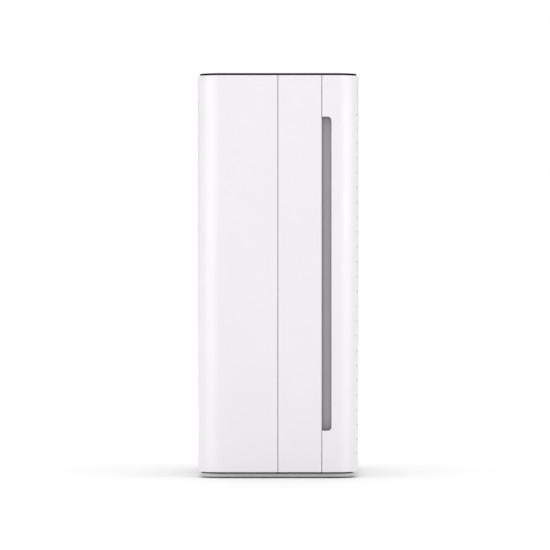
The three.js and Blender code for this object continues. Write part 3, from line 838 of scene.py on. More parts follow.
def top_deck():
    low, high = node_box("top_deck")
    board_low, board_high = node_box("display_board")
    width = board_high.x - board_low.x
    depth = board_high.y - board_low.y
    middle = (board_high.y + board_low.y) / 2
    outline = rounded(2 * high.x, 2 * high.y, CORNER_R - HALF_WIDTH + high.x, steps=CORNER_CUTS)
    pocket = rounded(width + 0.6, depth + 0.6, 1, 0, middle, 2)
    seat = rounded(width + 2, depth + 2, 1.5, 0, middle, 2)
    floor_z = board_low.z - 0.3
    deck = plate(outline, high.z - low.z, 0.3, [pocket])
    seat_plate = plate(seat, floor_z - low.z - 0.1, 0.2)
    stand_in("top_deck", "plate", [shifted(deck, z=high.z), shifted(seat_plate, z=floor_z)], "dark_plastic")
    board_top = board_high.z - 0.6
    board = plate(rounded(width, depth, 1.5, 0, middle, 3), board_top - board_low.z, 0.1)
    stand_in("display_board", "panel", [shifted(board, z=board_top)], "circuit_board")
    led_y = middle + 6
    leds = [((x - 4, led_y - 1.2, board_top), (x + 4, led_y + 1.2, board_high.z)) for x in range(-24, 25, 12)]
    chips = [((x - 4, middle - 10, board_top), (x + 4, middle - 3, board_high.z)) for x in (-30, 0, 30)]
    components("display_leds", "light_plastic", leds)
    components("display_chips", "black_plastic", chips)


# ---------------------------------------------------------------- inner housing

GUARD_RINGS = ((24, 31), (36, 43), (48, 55)) # inner and outer radius of each ring of openings
SPOKE = 6
FAN_SCREW = 52.5 # from the middle of a fan to its screws, sideways and upwards
FAN_SCREWS = [(dx, dz) for dx in (-FAN_SCREW, FAN_SCREW) for dz in (-FAN_SCREW, FAN_SCREW)]
EDGE_SCREWS = [(x, z) for x in (-178, 0, 178) for z in (30, 574)] + [(-178, 302), (178, 302)]
RIB_COLUMNS = range(-120, 121, 40)
RIB_ROWS = ((40, 150), (305, 455)) # lowest and highest point of each row of ribs
BREAKER_OPENING = (37, 47)
BUTTON_HOLE_R = 8.4
CLIP_HOLE_R = 3.4
SIDES = ("left", "right")


def guard_slots(cx, cz):
    """The openings of a fan guard, between its rings and its four spokes."""
    slots = []
    for inner, outer in GUARD_RINGS:
        inner_trim = SPOKE / 2 / inner
        outer_trim = SPOKE / 2 / outer
        for quarter in range(4):
            start = (quarter + 0.5) * QUARTER
            end = start + QUARTER
            slots.append(arc(outer, cx, cz, start + outer_trim, end - outer_trim, 13)
                         + arc(inner, cx, cz, end - inner_trim, start + inner_trim, 13))
    return slots


def hoop(profile, sides=48):
    """A ring about Z from a closed profile of (radius, z) points."""
    return loop_rings([level(circle(radius, sides=sides), z) for radius, z in profile], False)


def panel(axis, place, outline, thickness, fillet=0.3, holes=(), steps=0):
    """A flat plate that stands up, with its outer face at a place and looking along an axis."""
    return moved(plate(outline, thickness, fillet, holes, steps), facing(axis, place))


def studs(profile, places, axis, sides=24):
    """The same turned shape at several places."""
    shape = turned(profile, sides)
    return [laid(shape, axis, place) for place in places]


def nut_and_bolt(radius, height):
    """A hexagonal nut with the round end of its bolt, from z = 0 up."""
    nut = turned([(0, 0), (radius, 0), (radius, height - 0.3), (radius - 0.4, height), (0, height)], 6)
    return [nut, drum(radius * 0.55, height + 1.4, 0.4, 20)]


def bolted(radius, height, places, axis):
    shapes = nut_and_bolt(radius, height)
    return [laid(shape, axis, place) for place in places for shape in shapes]


def inner_housing():
    low, high = node_box("inner_housing")
    height = high.z - low.z
    middle_z = (high.z + low.z) / 2
    corner_r = 6
    raised = 1.2 # how far ribs and bezels stand out of the face
    fan = node_centre("fan_frame_right")
    breaker_x = node_centre("breaker_toggle").x
    breaker_z = node_centre("breaker_body").z
    button = node_centre("power_button")

    def outline(inset):
        return rounded(2 * (high.x - inset), height - 2 * inset, max(corner_r - inset, 0.5), 0, middle_z)

    holes = [rounded(*BREAKER_OPENING, 1, breaker_x, breaker_z, 3), circle(BUTTON_HOLE_R, button.x, button.z)]
    holes += [circle(CLIP_HOLE_R, x, z, 16) for x, z in CLIP_PLACES]
    holes += guard_slots(-fan.x, fan.z) + guard_slots(fan.x, fan.z)
    face = panel("-y", (0, low.y, 0), outline(0), WALL, 0.6, holes, 1)
    lip = 0.3
    wall_path = [(0.05, low.y + 1.2), (0.05, high.y - lip), (lip, high.y), (WALL - lip, high.y),
                 (WALL, high.y - lip), (WALL, low.y + 1.2)]
    wall = loop_rings([upright(outline(inset), y) for inset, y in wall_path], False)

    def raised_ring(inner, outer, edge, sides, x, z):
        """A round bezel on the face."""
        profile = [(inner, -0.5), (inner, edge), (inner + raised - edge, raised),
                   (outer - raised + edge, raised), (outer, edge), (outer, -0.5)]
        return laid(hoop(profile, sides), "-y", (x, low.y, z))

    bezels = [raised_ring(57, 61, 0.8, 72, x, fan.z) for x in (-fan.x, fan.x)]
    collar = raised_ring(9, 12, 0.9, 48, button.x, button.z)
    frame_outline = rounded(50, 60, 3, breaker_x, breaker_z)
    frame_hole = rounded(38.5, 48.5, 1.2, breaker_x, breaker_z)
    breaker_frame = panel("-y", (0, low.y - raised, 0), frame_outline, raised + 0.5, 0.4, [frame_hole], 1)
    ribs = [block((x - 2.5, low.y - raised, z_low), (x + 2.5, low.y + 0.5, z_high), 0.9)
            for z_low, z_high in RIB_ROWS for x in RIB_COLUMNS]
    stand_in("inner_housing", "tub", [face, wall, *ribs, *bezels, collar, breaker_frame], "grey_plastic")

    places = [(x + dx, fan.z + dz) for x in (-fan.x, fan.x) for dx, dz in FAN_SCREWS]
    screw = socket_screw(3.4, 2.4, 1.8)
    screws = [laid(screw, "-y", (x, low.y + 0.4, z)) for x, z in places + EDGE_SCREWS]
    made("housing_screws", screws, "pin_steel")


# ---------------------------------------------------------------- cooling fans

BORE = 57
BLADES = 7
BLADE_HUB = {"radius": 19, "pitch": 46, "chord": 23, "half_t": 1.0}
BLADE_TIP = {"radius": 54.5, "pitch": 28, "chord": 32, "half_t": 0.6}
BLADE_CAMBER = 2.2
BLADE_SWEEP = 0.35


def fan_frame(side):
    low, high = node_box(f"fan_frame_{side}")
    centre = (low + high) / 2
    size = high.x - low.x
    flange_t = 4
    strut_t = 3.5
    holes = [circle(BORE, sides=64)] + [circle(2.2, dx, dz, 16) for dx, dz in FAN_SCREWS]
    flange = plate(rounded(size, size, 8), flange_t, 0.4, holes)
    duct = hoop([(BORE + 2.4, 0), (BORE + 2.4, 23), (BORE - 0.1, 23), (BORE - 0.1, 0)], 64)
    strut = block((18, -3, 0), (BORE + 1, 3, strut_t), 0.9)
    sleeve_places = [(centre.x + dx, low.y + 3, centre.z + dz) for dx, dz in FAN_SCREWS]
    sleeves = studs([(0, 0), (4.2, 0), (4.2, 19), (0, 19)], sleeve_places, "y", 16)
    back = along("y", (centre.x, high.y - strut_t, centre.z))
    stand_in(f"fan_frame_{side}", "body", [
        moved(flange, facing("-y", (centre.x, low.y, centre.z))),
        moved(flange, facing("-y", (centre.x, high.y - flange_t, centre.z))),
        laid(duct, "y", (centre.x, low.y + 1, centre.z)),
        *[moved(strut, back @ Matrix.Rotation((turn + 0.5) * QUARTER, 4, "Z")) for turn in range(4)],
        moved(drum(20, strut_t, 0.8, 40), back), *sleeves,
    ], "black_plastic")


def blade(start, depth):
    """A twisted, swept and cambered fan blade around Z, from hub to tip."""
    loops = []
    spans = np.linspace(-0.5, 0.5, 8)
    skin = [(span, 1) for span in spans] + [(span, -1) for span in spans[-2:0:-1]]
    for out in np.linspace(0, 1, 7):
        radius, pitch, chord, half_t = (
            BLADE_HUB[key] + out * (BLADE_TIP[key] - BLADE_HUB[key]) for key in BLADE_HUB)
        rise, run = math.sin(math.radians(pitch)), math.cos(math.radians(pitch))
        loop = []
        for span, face in skin:
            round_off = 1 - (2 * span) ** 2
            lift = BLADE_CAMBER * round_off + face * half_t * math.sqrt(round_off)
            axial = span * chord * rise + lift * run
            around = span * chord * run - lift * rise
            angle = start + BLADE_SWEEP * out * out + around / radius
            loop.append((radius * math.cos(angle), radius * math.sin(angle), depth / 2 - 1 + axial))
        loops.append(loop)
    return loop_rings(loops)


def fan_rotor(side):
    low, high = node_box(f"fan_rotor_{side}")
    frame_centre = node_centre(f"fan_frame_{side}")
    depth = high.y - low.y
    hub = turned([(0, 0), (16.5, 0), (19, 0.8), (20, 2.6), (20, depth), (18, depth), (18, 4), (0, 4)], 48)
    blades = [blade(2 * math.pi * i / BLADES, depth) for i in range(BLADES)]
    place = along("y", (frame_centre.x, low.y, frame_centre.z))
    stand_in(f"fan_rotor_{side}", "blades", [moved(shape, place) for shape in (hub, *blades)], "dark_plastic",
             f"fan_{side}")


# ---------------------------------------------------------------- breaker and button

PIVOT_Y = -98
DRUM_R = 8.4
LEVER_RISE = math.radians(25)
LEVER_WIDTH = 18


def breaker():
    low, high = node_box("breaker_body")
    toggle_low, toggle_high = node_box("breaker_toggle")
    z = (low.z + high.z) / 2
    front = HOUSING_FRONT + WALL + 0.3
    nose = 23
    rail = 17.5 # half the height of the notch for a mounting rail
    head = [(front, high.z), (front, z + nose), (low.y, z + nose)]
    tail = [(low.y, z - nose), (front, z - nose), (front, low.z)]
    back = [(high.y, low.z), (high.y, z - rail), (high.y - 6, z - rail), (high.y - 6, z + rail),
            (high.y, z + rail), (high.y, high.z)]
    well_r = DRUM_R + 0.6
    mouth = math.acos((low.y - PIVOT_Y) / well_r)
    well = arc(well_r, PIVOT_Y, z, mouth, -mouth, 25)
    inner = toggle_low.x - 0.5, toggle_high.x + 0.5
    cheek = head + tail + back
    stand_in("breaker_body", "case", [
        panel("+x", (inner[0], 0, 0), cheek, inner[0] - low.x, 0.35),
        panel("+x", (inner[1], 0, 0), head + well + tail + back, inner[1] - inner[0], 0.35),
        panel("+x", (high.x, 0, 0), cheek, high.x - inner[1], 0.35),
    ], "light_plastic")

    def from_pivot(out, up):
        y = PIVOT_Y - out * math.cos(LEVER_RISE) + up * math.sin(LEVER_RISE)
        return y, z + out * math.sin(LEVER_RISE) + up * math.cos(LEVER_RISE)

    tip = arc(2, 12.1, 0, QUARTER, -QUARTER, 7)
    lever = [from_pivot(out, up) for out, up in [(3, 2.7), *tip, (3, -2.7)]]
    middle = (toggle_low.x + toggle_high.x) / 2
    ridge = drum(0.45, LEVER_WIDTH - 2, 0.2, 10)
    ridge_places = [from_pivot(out, 2 + 0.08 * (12 - out)) for out in (9.4, 10.8, 12.2)]
    ridge_x = middle - LEVER_WIDTH / 2 + 1
    stand_in("breaker_toggle", "lever", [
        laid(drum(DRUM_R, toggle_high.x - toggle_low.x, 0.5, 48), "x", (toggle_low.x, PIVOT_Y, z)),
        panel("+x", (middle + LEVER_WIDTH / 2, 0, 0), lever, LEVER_WIDTH, 0.5, steps=1),
        *[laid(ridge, "x", (ridge_x, *place)) for place in ridge_places],
    ], "black_plastic", "toggle")


def power_button():
    place = inward_from("power_button")
    dome = [(0, 0.7), (3.5, 0.5), (6, 0.1), (7, 0), (7.7, 0.25), (8, 0.9)]
    flange = [(8, 7.3), (9.7, 7.3), (10, 7.6), (10, 8.7), (9.7, 9), (8, 9)]
    stem = [(8, 12.6), (7.6, 13), (0, 13)]
    cap = turned(dome + flange + stem, 48)
    stand_in("power_button", "cap", [moved(cap, place)], "light_plastic", "button")
    ring = hoop([(4.6, 2), (4.6, 0.32), (4.8, 0.2), (5.6, 0.1), (5.8, 0.2), (5.8, 2)])
    made("power_button_ring", [moved(ring, place)], "black_plastic", "button")


def button_switch():
    centre = node_centre("power_button")
    low, high = node_box("button_switch")
    stand_in("button_switch", "case", [
        block((low.x, low.y + 0.6, low.z), (high.x, high.y - 2, high.z), 0.6),
        laid(drum(3, 2, 0.4), "y", (centre.x, low.y, centre.z)),
    ], "black_plastic")
    components("button_switch_pins", "brass", [
        ((x - 0.6, high.y - 2.5, z - 0.6), (x + 0.6, high.y, z + 0.6))
        for x in (low.x + 4, high.x - 4) for z in (low.z + 4, high.z - 4)])


# ---------------------------------------------------------------- chassis and battery modules

SHEET_HOLE_R = 2.6
SIDE_WINDOWS = (105, 235, 365) # heights, as are the next two
SIDE_HOLES = (40, 170, 300, 430)
BACK_HOLES = range(40, 581, 90)


def chassis_floor():
    low, high = node_box("chassis_floor")
    middle = (low.y + high.y) / 2
    depth = high.y - low.y
    vents = [rounded(5, 40, 2.4, x, y, 4) for x in range(-150, 151, 20) for y in (middle - 40, middle + 40)]
    floor_plate = plate(rounded(2 * high.x, depth, 3, 0, middle), high.z - low.z, 0.3, vents)
    stand_in("chassis_floor", "sheet", [shifted(floor_plate, z=high.z)], "sheet_steel")


def chassis_frame():
    low, high = node_box("chassis_frame")
    sheet = 2
    middle = (low.y + high.y) / 2
    depth = high.y - low.y
    height = high.z - low.z - 0.6
    outline = rounded(depth, height, 1.5, 0, low.z + height / 2, 2)
    windows = [rounded(56, 50, 8, 0, z) for z in SIDE_WINDOWS]
    windows += [circle(SHEET_HOLE_R, y, z, 16) for y in (-46, 46) for z in SIDE_HOLES]
    slots = [rounded(26, 4, 1.9, x, y, 4) for x in range(-140, 141, 40) for y in (middle - 48, middle + 48)]
    shelf = plate(rounded(2 * high.x - 1, depth, 1.5, 0, middle, 2), sheet, 0.3, slots)
    flange_x = 0.978 * (high.x - 1)
    flanges = [block((x - 5, low.y, low.z), (x + 5, low.y + sheet, 440), 0.3) for x in (-flange_x, flange_x)]
    stand_in("chassis_frame", "sheet", [
        panel("+x", (high.x, middle, 0), outline, sheet, 0.3, windows),
        panel("-x", (-high.x, middle, 0), outline, sheet, 0.3, windows),
        shifted(shelf, z=high.z), *flanges,
    ], "sheet_steel")


def chassis_back():
    low, high = node_box("chassis_back")
    outline = rounded(2 * high.x, high.z - low.z, 2, 0, (low.z + high.z) / 2, 3)
    holes = [rounded(80, 30, 8, 0, 540)]
    holes += [circle(SHEET_HOLE_R, x, z, 16) for x in (-172, 172) for z in BACK_HOLES]
    stand_in("chassis_back", "sheet", [panel("+y", (0, high.y, 0), outline, high.y - low.y, 0.3, holes)],
             "sheet_steel")


CELLS = 8
TERMINAL_X = 58 # from the middle of a cell to its poles
LINK_REACH = 34 # half the length of a bus bar link
LINK_BOLT = 25.5 # from the middle of a link to its bolts


def cells(side):
    pole = [(0, 0), (8.5, 0), (8.5, 0.8), (7, 1.2), (7, 2.8), (6.7, 3.1), (0, 3.1)]
    vent = [(0, 0), (7, 0), (7, 0.4), (6, 0.9), (0, 0.9)]
    caps = []
    for i in range(1, CELLS + 1):
        node = f"cell_{side}_{i}"
        low, high = node_box(node)
        middle = node_centre(node)
        front = low.y + 3
        stand_in(node, "can", [block((low.x, front, low.z), high, 2.2, 3)], "cell_wrap")
        pole_places = [(middle.x + dx, front - 0.1, middle.z) for dx in (-TERMINAL_X, TERMINAL_X)]
        caps.append(block((low.x + 4, front - 0.6, low.z + 4), (high.x - 4, front + 1, high.z - 4), 0.4))
        caps += studs(pole, pole_places, "-y")
        caps += studs(vent, [(middle.x, front - 0.3, middle.z)], "-y")
    made(f"cell_caps_{side}", caps, "aluminium_fins")


def busbars(side):
    low, high = node_box(f"busbar_plate_{side}")
    middle_x, middle_z = (low.x + high.x) / 2, (low.z + high.z) / 2
    outline = rounded(high.x - low.x, high.z - low.z, 4, 0, middle_z)
    windows = [rounded(60, 14, 4, 0, z) for z in range(60, 420, 51)]
    board = panel("-y", (middle_x, low.y + 1.5, 0), outline, 2, 0.3, windows)
    made(f"busbar_carrier_{side}", [board], "dark_plastic")
    links = []
    bolts = []
    for i in range(1, CELLS):
        top = node_box(f"cell_{side}_{i + 1}")[0].z - 0.5
        x = middle_x + (TERMINAL_X if i % 2 == 0 else -TERMINAL_X)
        ends = [top - LINK_BOLT, top + LINK_BOLT]
        holes = [circle(3, 0, z, 16) for z in ends]
        links.append(panel("-y", (x, low.y, 0), rounded(18, 2 * LINK_REACH, 4, 0, top), 1.8, 0.3, holes))
        links.append(block((x - 9, low.y - 1.6, top - 6), (x + 9, low.y + 1, top + 6), 1.2))
        bolts += [(x, low.y, z) for z in ends]
    made(f"busbar_links_{side}", links, "copper", nodes=[f"busbar_plate_{side}"])
    made(f"busbar_nuts_{side}", bolted(5.5, 3.2, bolts, "-y"), "pin_steel")


def clamp_plate(side):
    low, high = node_box(f"clamp_plate_{side}")
    ribs = [block((low.x + 8, y - 3, high.z - 1), (high.x - 8, y + 3, high.z + 3), 0.8) for y in (-25, 0, 25)]
    corners = [(x, y, high.z) for x in (low.x + 8, high.x - 8) for y in (low.y + 8, high.y - 8)]
    bolts = bolted(6, 4.5, corners, "z")
    stand_in(f"clamp_plate_{side}", "bar", [block(low, high, 0.8), *ribs, *bolts], "sheet_steel")


# ---------------------------------------------------------------- control gear above the modules


def comb(low, high, base, fins, fin_t):
    """Plan outline of a finned block: a base along its front edge with fins behind it."""
    points = [(high.x, low.y), (low.x, low.y)]
    for i in range(fins):
        x = low.x + (high.x - low.x - fin_t) * i / (fins - 1)
        points += [(x, low.y + base), (x + 0.3, high.y), (x + fin_t - 0.3, high.y), (x + fin_t, low.y + base)]
    points.remove((low.x, low.y + base))
    points.pop()
    return points


def battery_manager():
    low, high = node_box("bms_board")
    top = low.z + 7.6
    middle = (low + high) / 2
    board = plate(rounded(high.x - low.x, high.y - low.y, 3, middle.x, middle.y, 4), 1.6, 0.15,
                  [circle(2, x, y, 12) for x in (-150, -30) for y in (2, 10)])
    stand_in("bms_board", "panel", [shifted(board, z=top)], "circuit_board")
    posts = [(x, y, low.z) for x in (low.x + 6, high.x - 6) for y in (low.y + 6, high.y - 6)]
    made("bms_posts", studs([(0, 0), (3, 0), (3, 6.2), (0, 6.2)], posts, "z", 6), "brass")
    sink_low, sink_high = Vector((-120, 0, 0)), Vector((-60, 12.6, 0))
    fins = moved(plate(comb(sink_low, sink_high, 3, 11, 2), 44, 0.15), facing("+y", (-180, 24, top)))
    made("bms_spreader", [fins], "aluminium_fins")
    components("bms_chips", "black_plastic", [
        ((x, y, top - 0.2), (x + w, y + d, top + h)) for x, y, w, d, h in (
            (-152, -34, 14, 14, 1.8), (-152, -6, 10, 10, 1.6), (-50, -34, 16, 16, 2.2), (-50, 2, 9, 12, 3),
            (-152, 14, 18, 8, 8), (-96, 32, 12, 12, 2), (-74, -40, 8, 12, 2.5))])
    components("bms_sockets", "light_plastic", [
        ((x, 36, top - 0.2), (x + 16, 47, top + 9)) for x in (-146, -122, -76, -52)])


def contactor():
    low, high = node_box("contactor")
    middle = (low + high) / 2
    case_top = low.z + 58
    ribs = [block((x, y, low.z + 6), (x + 2, y + 2, case_top - 10), 0.4)
            for x in range(int(low.x) + 6, 50, 8) for y in (low.y - 1, high.y - 1)]
    stand_in("contactor", "case", [
        block(low, (high.x, high.y, case_top - 6), 1.5, 3),
        block((low.x + 4, low.y + 4, case_top - 8), (high.x - 4, high.y - 4, case_top), 1.2, 2),
        shifted(plate(rounded(58, 72, 4, middle.x, middle.y), 4, 0.4), z=low.z + 4), *ribs,
    ], "dark_plastic")
    made("contactor_studs", bolted(7, 6, [(x, 12, case_top) for x in (10, 38)], "z"), "copper")


def main_fuse():
    low, _ = node_box("main_fuse")
    fuse_y = 20
    axis_z = low.z + 24
    body = turned([(0, 0), (10.6, 0), (11.2, 0.8), (11.2, 29.2), (10.6, 30), (0, 30)], 40)
    barrel = laid(body, "x", (75, fuse_y, axis_z))
    stand_in("main_fuse", "barrel", [barrel], "fuse_body")
    cap = [(0, 0), (11.4, 0), (12, 0.6), (12, 6.4), (11.6, 7), (0, 7)]
    made("main_fuse_caps", studs(cap, [(x, fuse_y, axis_z) for x in (72, 101)], "x", 40), "brass")
    ends = [(rounded(16, 20, 2, x, axis_z, 3), circle(3, x, axis_z, 16)) for x in (70, 110)]
    blades = [panel("-y", (0, fuse_y - 1.5, 0), outline, 3, 0.3, [hole]) for outline, hole in ends]
    made("main_fuse_blades", blades, "copper")
    base = block((66, 8, low.z), (114, 32, low.z + 9), 1, 2)
    clamps = [block((x, 10, low.z + 6), (x + 6, 30, low.z + 13), 0.8) for x in (68, 106)]
    made("main_fuse_holder", [base, *clamps], "dark_plastic")


# ---------------------------------------------------------------- inverter behind the modules

CHOKE_INNER = 15
CHOKE_OUTER = 27.5
CHOKE_DEPTH = 21
CHOKE_TURNS = 30
WIRE_R = 1.3


def wound_ring(place):
    """Copper turns around a toroid that lies against the board."""
    path = rounded(CHOKE_OUTER - CHOKE_INNER + 2 * WIRE_R, CHOKE_DEPTH + 2 * WIRE_R, 2.4,
                   (CHOKE_OUTER + CHOKE_INNER) / 2, 0, 3)
    across = Vector((0, 1, 0))
    section = []
    for i, (radius, z) in enumerate(path):
        before, after = path[i - 1], path[(i + 1) % len(path)]
        tangent = Vector((after[0] - before[0], 0, after[1] - before[1])).normalized()
        normal = across.cross(tangent)
        section.append([Vector((radius, 0, z)) + WIRE_R * (math.cos(a) * across + math.sin(a) * normal)
                        for a in np.linspace(0, 2 * math.pi, 6, endpoint=False)])
    coil = loop_rings(section, False)
    step = 2 * math.pi / CHOKE_TURNS
    return [moved(coil, place @ Matrix.Rotation(turn * step, 4, "Z")) for turn in range(CHOKE_TURNS)]


def inverter_board():
    low, high = node_box("inverter_board")
    face = high.y
    outline = rounded(high.x - low.x, high.z - low.z, 3, 0, (low.z + high.z) / 2, 4)
    holes = [circle(2.2, x, z, 12) for x in (-144, 0, 144) for z in (134, 566)]
    stand_in("inverter_board", "panel", [panel("+y", (0, face, 0), outline, high.y - low.y, 0.15, holes)],
             "circuit_board")
    components("inverter_relays", "black_plastic", [
        ((x, face - 0.1, z), (x + 30, face + 16, z + 13))
        for x in (-140, -104, 76, 112) for z in (338, 356)], 0.6)
    components("inverter_chips", "black_plastic", [
        ((x, face - 0.1, z), (x + w, face + h, z + d)) for x, z, w, d, h in (
            (-20, 340, 22, 22, 2.2), (24, 348, 12, 10, 1.6), (-56, 344, 14, 16, 2), (-136, 240, 18, 8, 5),
            (118, 240, 18, 8, 5), (-12, 380, 8, 12, 2), (-130, 150, 26, 16, 12), (104, 150, 26, 16, 12))])
    components("inverter_sockets", "light_plastic", [
        ((x, face - 0.1, 134), (x + 34, face + 12, 146)) for x in (-60, 26)] + [
        ((x, face - 0.1, 390), (x + 20, face + 10, 400)) for x in (-100, -60, 60)], 0.4)


def heat_sink():
    low, high = node_box("heat_sink")
    fins = plate(comb(low, high, 5, 17, 2.5), high.z - low.z, 0.2)
    stand_in("heat_sink", "fins", [shifted(fins, z=high.z)], "aluminium_fins")


def capacitors():
    low, high = node_box("capacitor_bank")
    z = (low.z + high.z) / 2
    can = [(0, 0), (16, 0), (17, 1), (17, 2.6), (16.2, 3.4), (17, 4.4), (17, 32), (16.2, 33), (15, 33),
           (14.6, 32.4), (0, 32.4)]
    disc = [(0, 0), (14.5, 0), (14.5, 0.5), (14, 0.8), (0, 0.8)]
    columns = (-57, -19, 19, 57)
    sleeves = studs(can, [(x, low.y + 1, z) for x in columns], "y", 40)
    tops = studs(disc, [(x, low.y + 33.2, z) for x in columns], "y", 40)
    strip = panel("+y", (0, low.y + 4, 0), rounded(high.x - low.x, high.z - low.z, 4, 0, z), 4, 0.4)
    made("capacitor_sleeves", [strip, *sleeves], "black_plastic", nodes=["capacitor_bank"])
    made("capacitor_tops", tops, "aluminium_fins")


def chokes():
    for side in SIDES:
        node = f"choke_{side}"
        low, _ = node_box(node)
        centre = node_centre(node)
        coils = wound_ring(along("y", (centre.x, low.y + 13, centre.z)))
        stand_in(node, "winding", coils, "copper")
        core = hoop([(CHOKE_INNER, 0), (CHOKE_INNER, CHOKE_DEPTH),
                     (CHOKE_OUTER, CHOKE_DEPTH), (CHOKE_OUTER, 0)])
        core_place = along("y", (centre.x, low.y + 2.5, centre.z))
        made(f"{node}_core", [moved(core, core_place)], "dark_plastic")


# ---------------------------------------------------------------- hook rail and terminal bay on the rear


def hook_rail():
    low, high = node_box("hook_rail")
    sheet = 2.2
    lip_low = 374
    bend = 3
    screw_z = 362
    top = high.z - bend

    def corner(y, radius, start):
        return arc(radius, y, top, start, start - QUARTER, 5)

    front, rear = low.y + bend, high.y - bend
    outer = [(low.y, low.z), *corner(front, bend, 2 * QUARTER),
             *corner(rear, bend, QUARTER), (high.y, lip_low)]
    inner = [(low.y + sheet, low.z), *corner(front, bend - sheet, 2 * QUARTER),
             *corner(rear, bend - sheet, QUARTER), (high.y - sheet, lip_low)]
    rail = panel("+x", (high.x, 0, 0), outer + inner[::-1], high.x - low.x, 0.25)
    stand_in("hook_rail", "sheet", [rail], "sheet_steel")
    screw = socket_screw(4.5, 2.8, 2.2)
    places = [(x, low.y + sheet - 0.1, screw_z) for x in (-130, -45, 45, 130)]
    made("hook_rail_screws", [laid(screw, "y", place) for place in places], "pin_steel")


# The door's hinge and the notches in its lower edge; pairs are from and to along X.
HINGE_Y = 117.5
HINGE_Z = 100.6
BARREL_R = 2.5
BORE_R = 1.3
KNUCKLES = ((-104, -70), (70, 104))
LUGS = ((-109, -104.5), (-69.5, -65), (65, 69.5), (104.5, 109))
CABLE_NOTCHES = (-52, 14, 80)
NOTCH = {"half": 15, "top": 12, "radius": 6}


def terminal_tray():
    low, high = node_box("terminal_tray")
    wall = 2.5
    rear = REAR_HIGH.y - WALL - 0.3
    tray = tub(high.x - wall, low.z + wall, high.z - wall, rear, low.y + wall, 1.5, wall)
    web = [(rear - 3, high.z - 1), (rear - 3, HINGE_Z)]
    eye = arc(BARREL_R, HINGE_Y, HINGE_Z, 2 * QUARTER, 5 * QUARTER, 13)
    lug = web + eye + [(rear - 0.1, HINGE_Z + BARREL_R + 0.6), (rear - 0.1, high.z - 1)]
    bore = circle(BORE_R, HINGE_Y, HINGE_Z, 16)
    lugs = [panel("+x", (to, 0, 0), lug, to - start, 0.2, [bore]) for start, to in LUGS]
    dividers = [block((x - 1, low.y + 1, low.z + 1), (x + 1, low.y + 22, high.z - 14), 0.4)
                for x in (-22, 52)]
    stand_in("terminal_tray", "tub", [tray, *lugs, *dividers], "dark_plastic")


def door_outline(low, high):
    """The door seen from behind: cable notches in its lower edge, gaps around the lugs at its hinge."""
    plate_top = HINGE_Z - BORE_R - 0.1
    cut_z = HINGE_Z - BARREL_R - 0.5
    half, radius = NOTCH["half"], NOTCH["radius"]
    bend_z = low.z + NOTCH["top"] - radius
    outline = []
    for x in reversed(CABLE_NOTCHES):
        outline += [(-x - half, low.z),
                    *arc(radius, -x - half + radius, bend_z, 2 * QUARTER, QUARTER, 6),
                    *arc(radius, -x + half - radius, bend_z, QUARTER, 0, 6),
                    (-x + half, low.z)]
    outline += [(high.x, low.z), (high.x, cut_z)]
    for start, to in LUGS:
        right, left = -start + 0.5, -to - 0.5
        if right < high.x:
            outline += [(right, plate_top), (right, cut_z)]
        if left > -high.x:
            outline += [(left, cut_z), (left, plate_top)]
    return outline + [(-high.x, cut_z), (-high.x, low.z)]


def terminal_door():
    low, high = node_box("terminal_door")
    inside = HALF_DEPTH - WALL
    pull_x, pull_z = 85, 58
    pull = rounded(26, 9, 4.4, pull_x, pull_z)
    pull_back = panel("+y", (0, high.y - WALL + 0.4, 0), rounded(30, 13, 6, pull_x, pull_z), 1.2, 0.3)
    rib_low, rib_high = low.z + 16, HINGE_Z - BORE_R - 12.1
    ribs = [block((x - 0.8, inside - 1.5, rib_low), (x + 0.8, inside + 0.4, rib_high), 0.3)
            for x in (-100, -20, 46, 100)]
    knuckles = []
    for start, to in KNUCKLES:
        barrel = [(BORE_R, 0), (BARREL_R, 0), (BARREL_R, to - start), (BORE_R, to - start)]
        knuckles.append(laid(hoop(barrel, 24), "x", (start, HINGE_Y, HINGE_Z)))
    leaf = panel("+y", (0, high.y, 0), door_outline(low, high), WALL, 0.35, [pull])
    stand_in("terminal_door", "panel", [leaf, *knuckles, *ribs, pull_back], "white_shell", "door")


def door_pin():
    low, high = node_box("door_pin")
    rod = drum((high.z - low.z) / 2, high.x - low.x, 0.3, 20)
    stand_in("door_pin", "rod", [laid(rod, "x", (low.x, HINGE_Y, HINGE_Z))], "pin_steel")


def ribbed(inner, outer, low, high, count):
    """Points of a turned profile that steps in and out, as on a grip or a thread."""
    step = (high - low) / count
    points = []
    for i in range(count):
        z = low + i * step
        points += [(inner, z), (outer, z + step * 0.3), (outer, z + step * 0.6), (inner, z + step * 0.9)]
    return points


def ac_gland():
    place = inward_from("ac_gland")
    base = turned([(0, 0), (14.4, 0), (15, 0.5), (15, 6.5), (14.4, 7), (0, 7)], 6)
    dome = [(0, 6), (11, 6), *ribbed(10.6, 11, 6.5, 14, 5), (10.4, 15), (9, 17.5), (8, 19), (7.4, 20)]
    throat = [(5.4, 20), (5, 19), (5, 12), (0, 12)]
    stand_in("ac_gland", "body", [moved(shape, place) for shape in (base, turned(dome + throat, 36))],
             "black_plastic")


def ground_stud():
    place = inward_from("ground_stud")
    thread = turned([(0, 0), *ribbed(3.5, 4, 1, 17, 14), (3, 18), (0, 18)], 24)
    washer = turned([(0, 0), (7.9, 0), (7.9, 0.8), (0, 0.8)], 36)
    nut = turned([(0, 0), (7.6, 0), (8, 0.4), (8, 3.6), (7.6, 4), (0, 4)], 6)
    nuts = [shifted(nut, z=z) for z in (0.7, 6.5)]
    stand_in("ground_stud", "bolt", [moved(shape, place) for shape in (thread, washer, *nuts)], "brass")


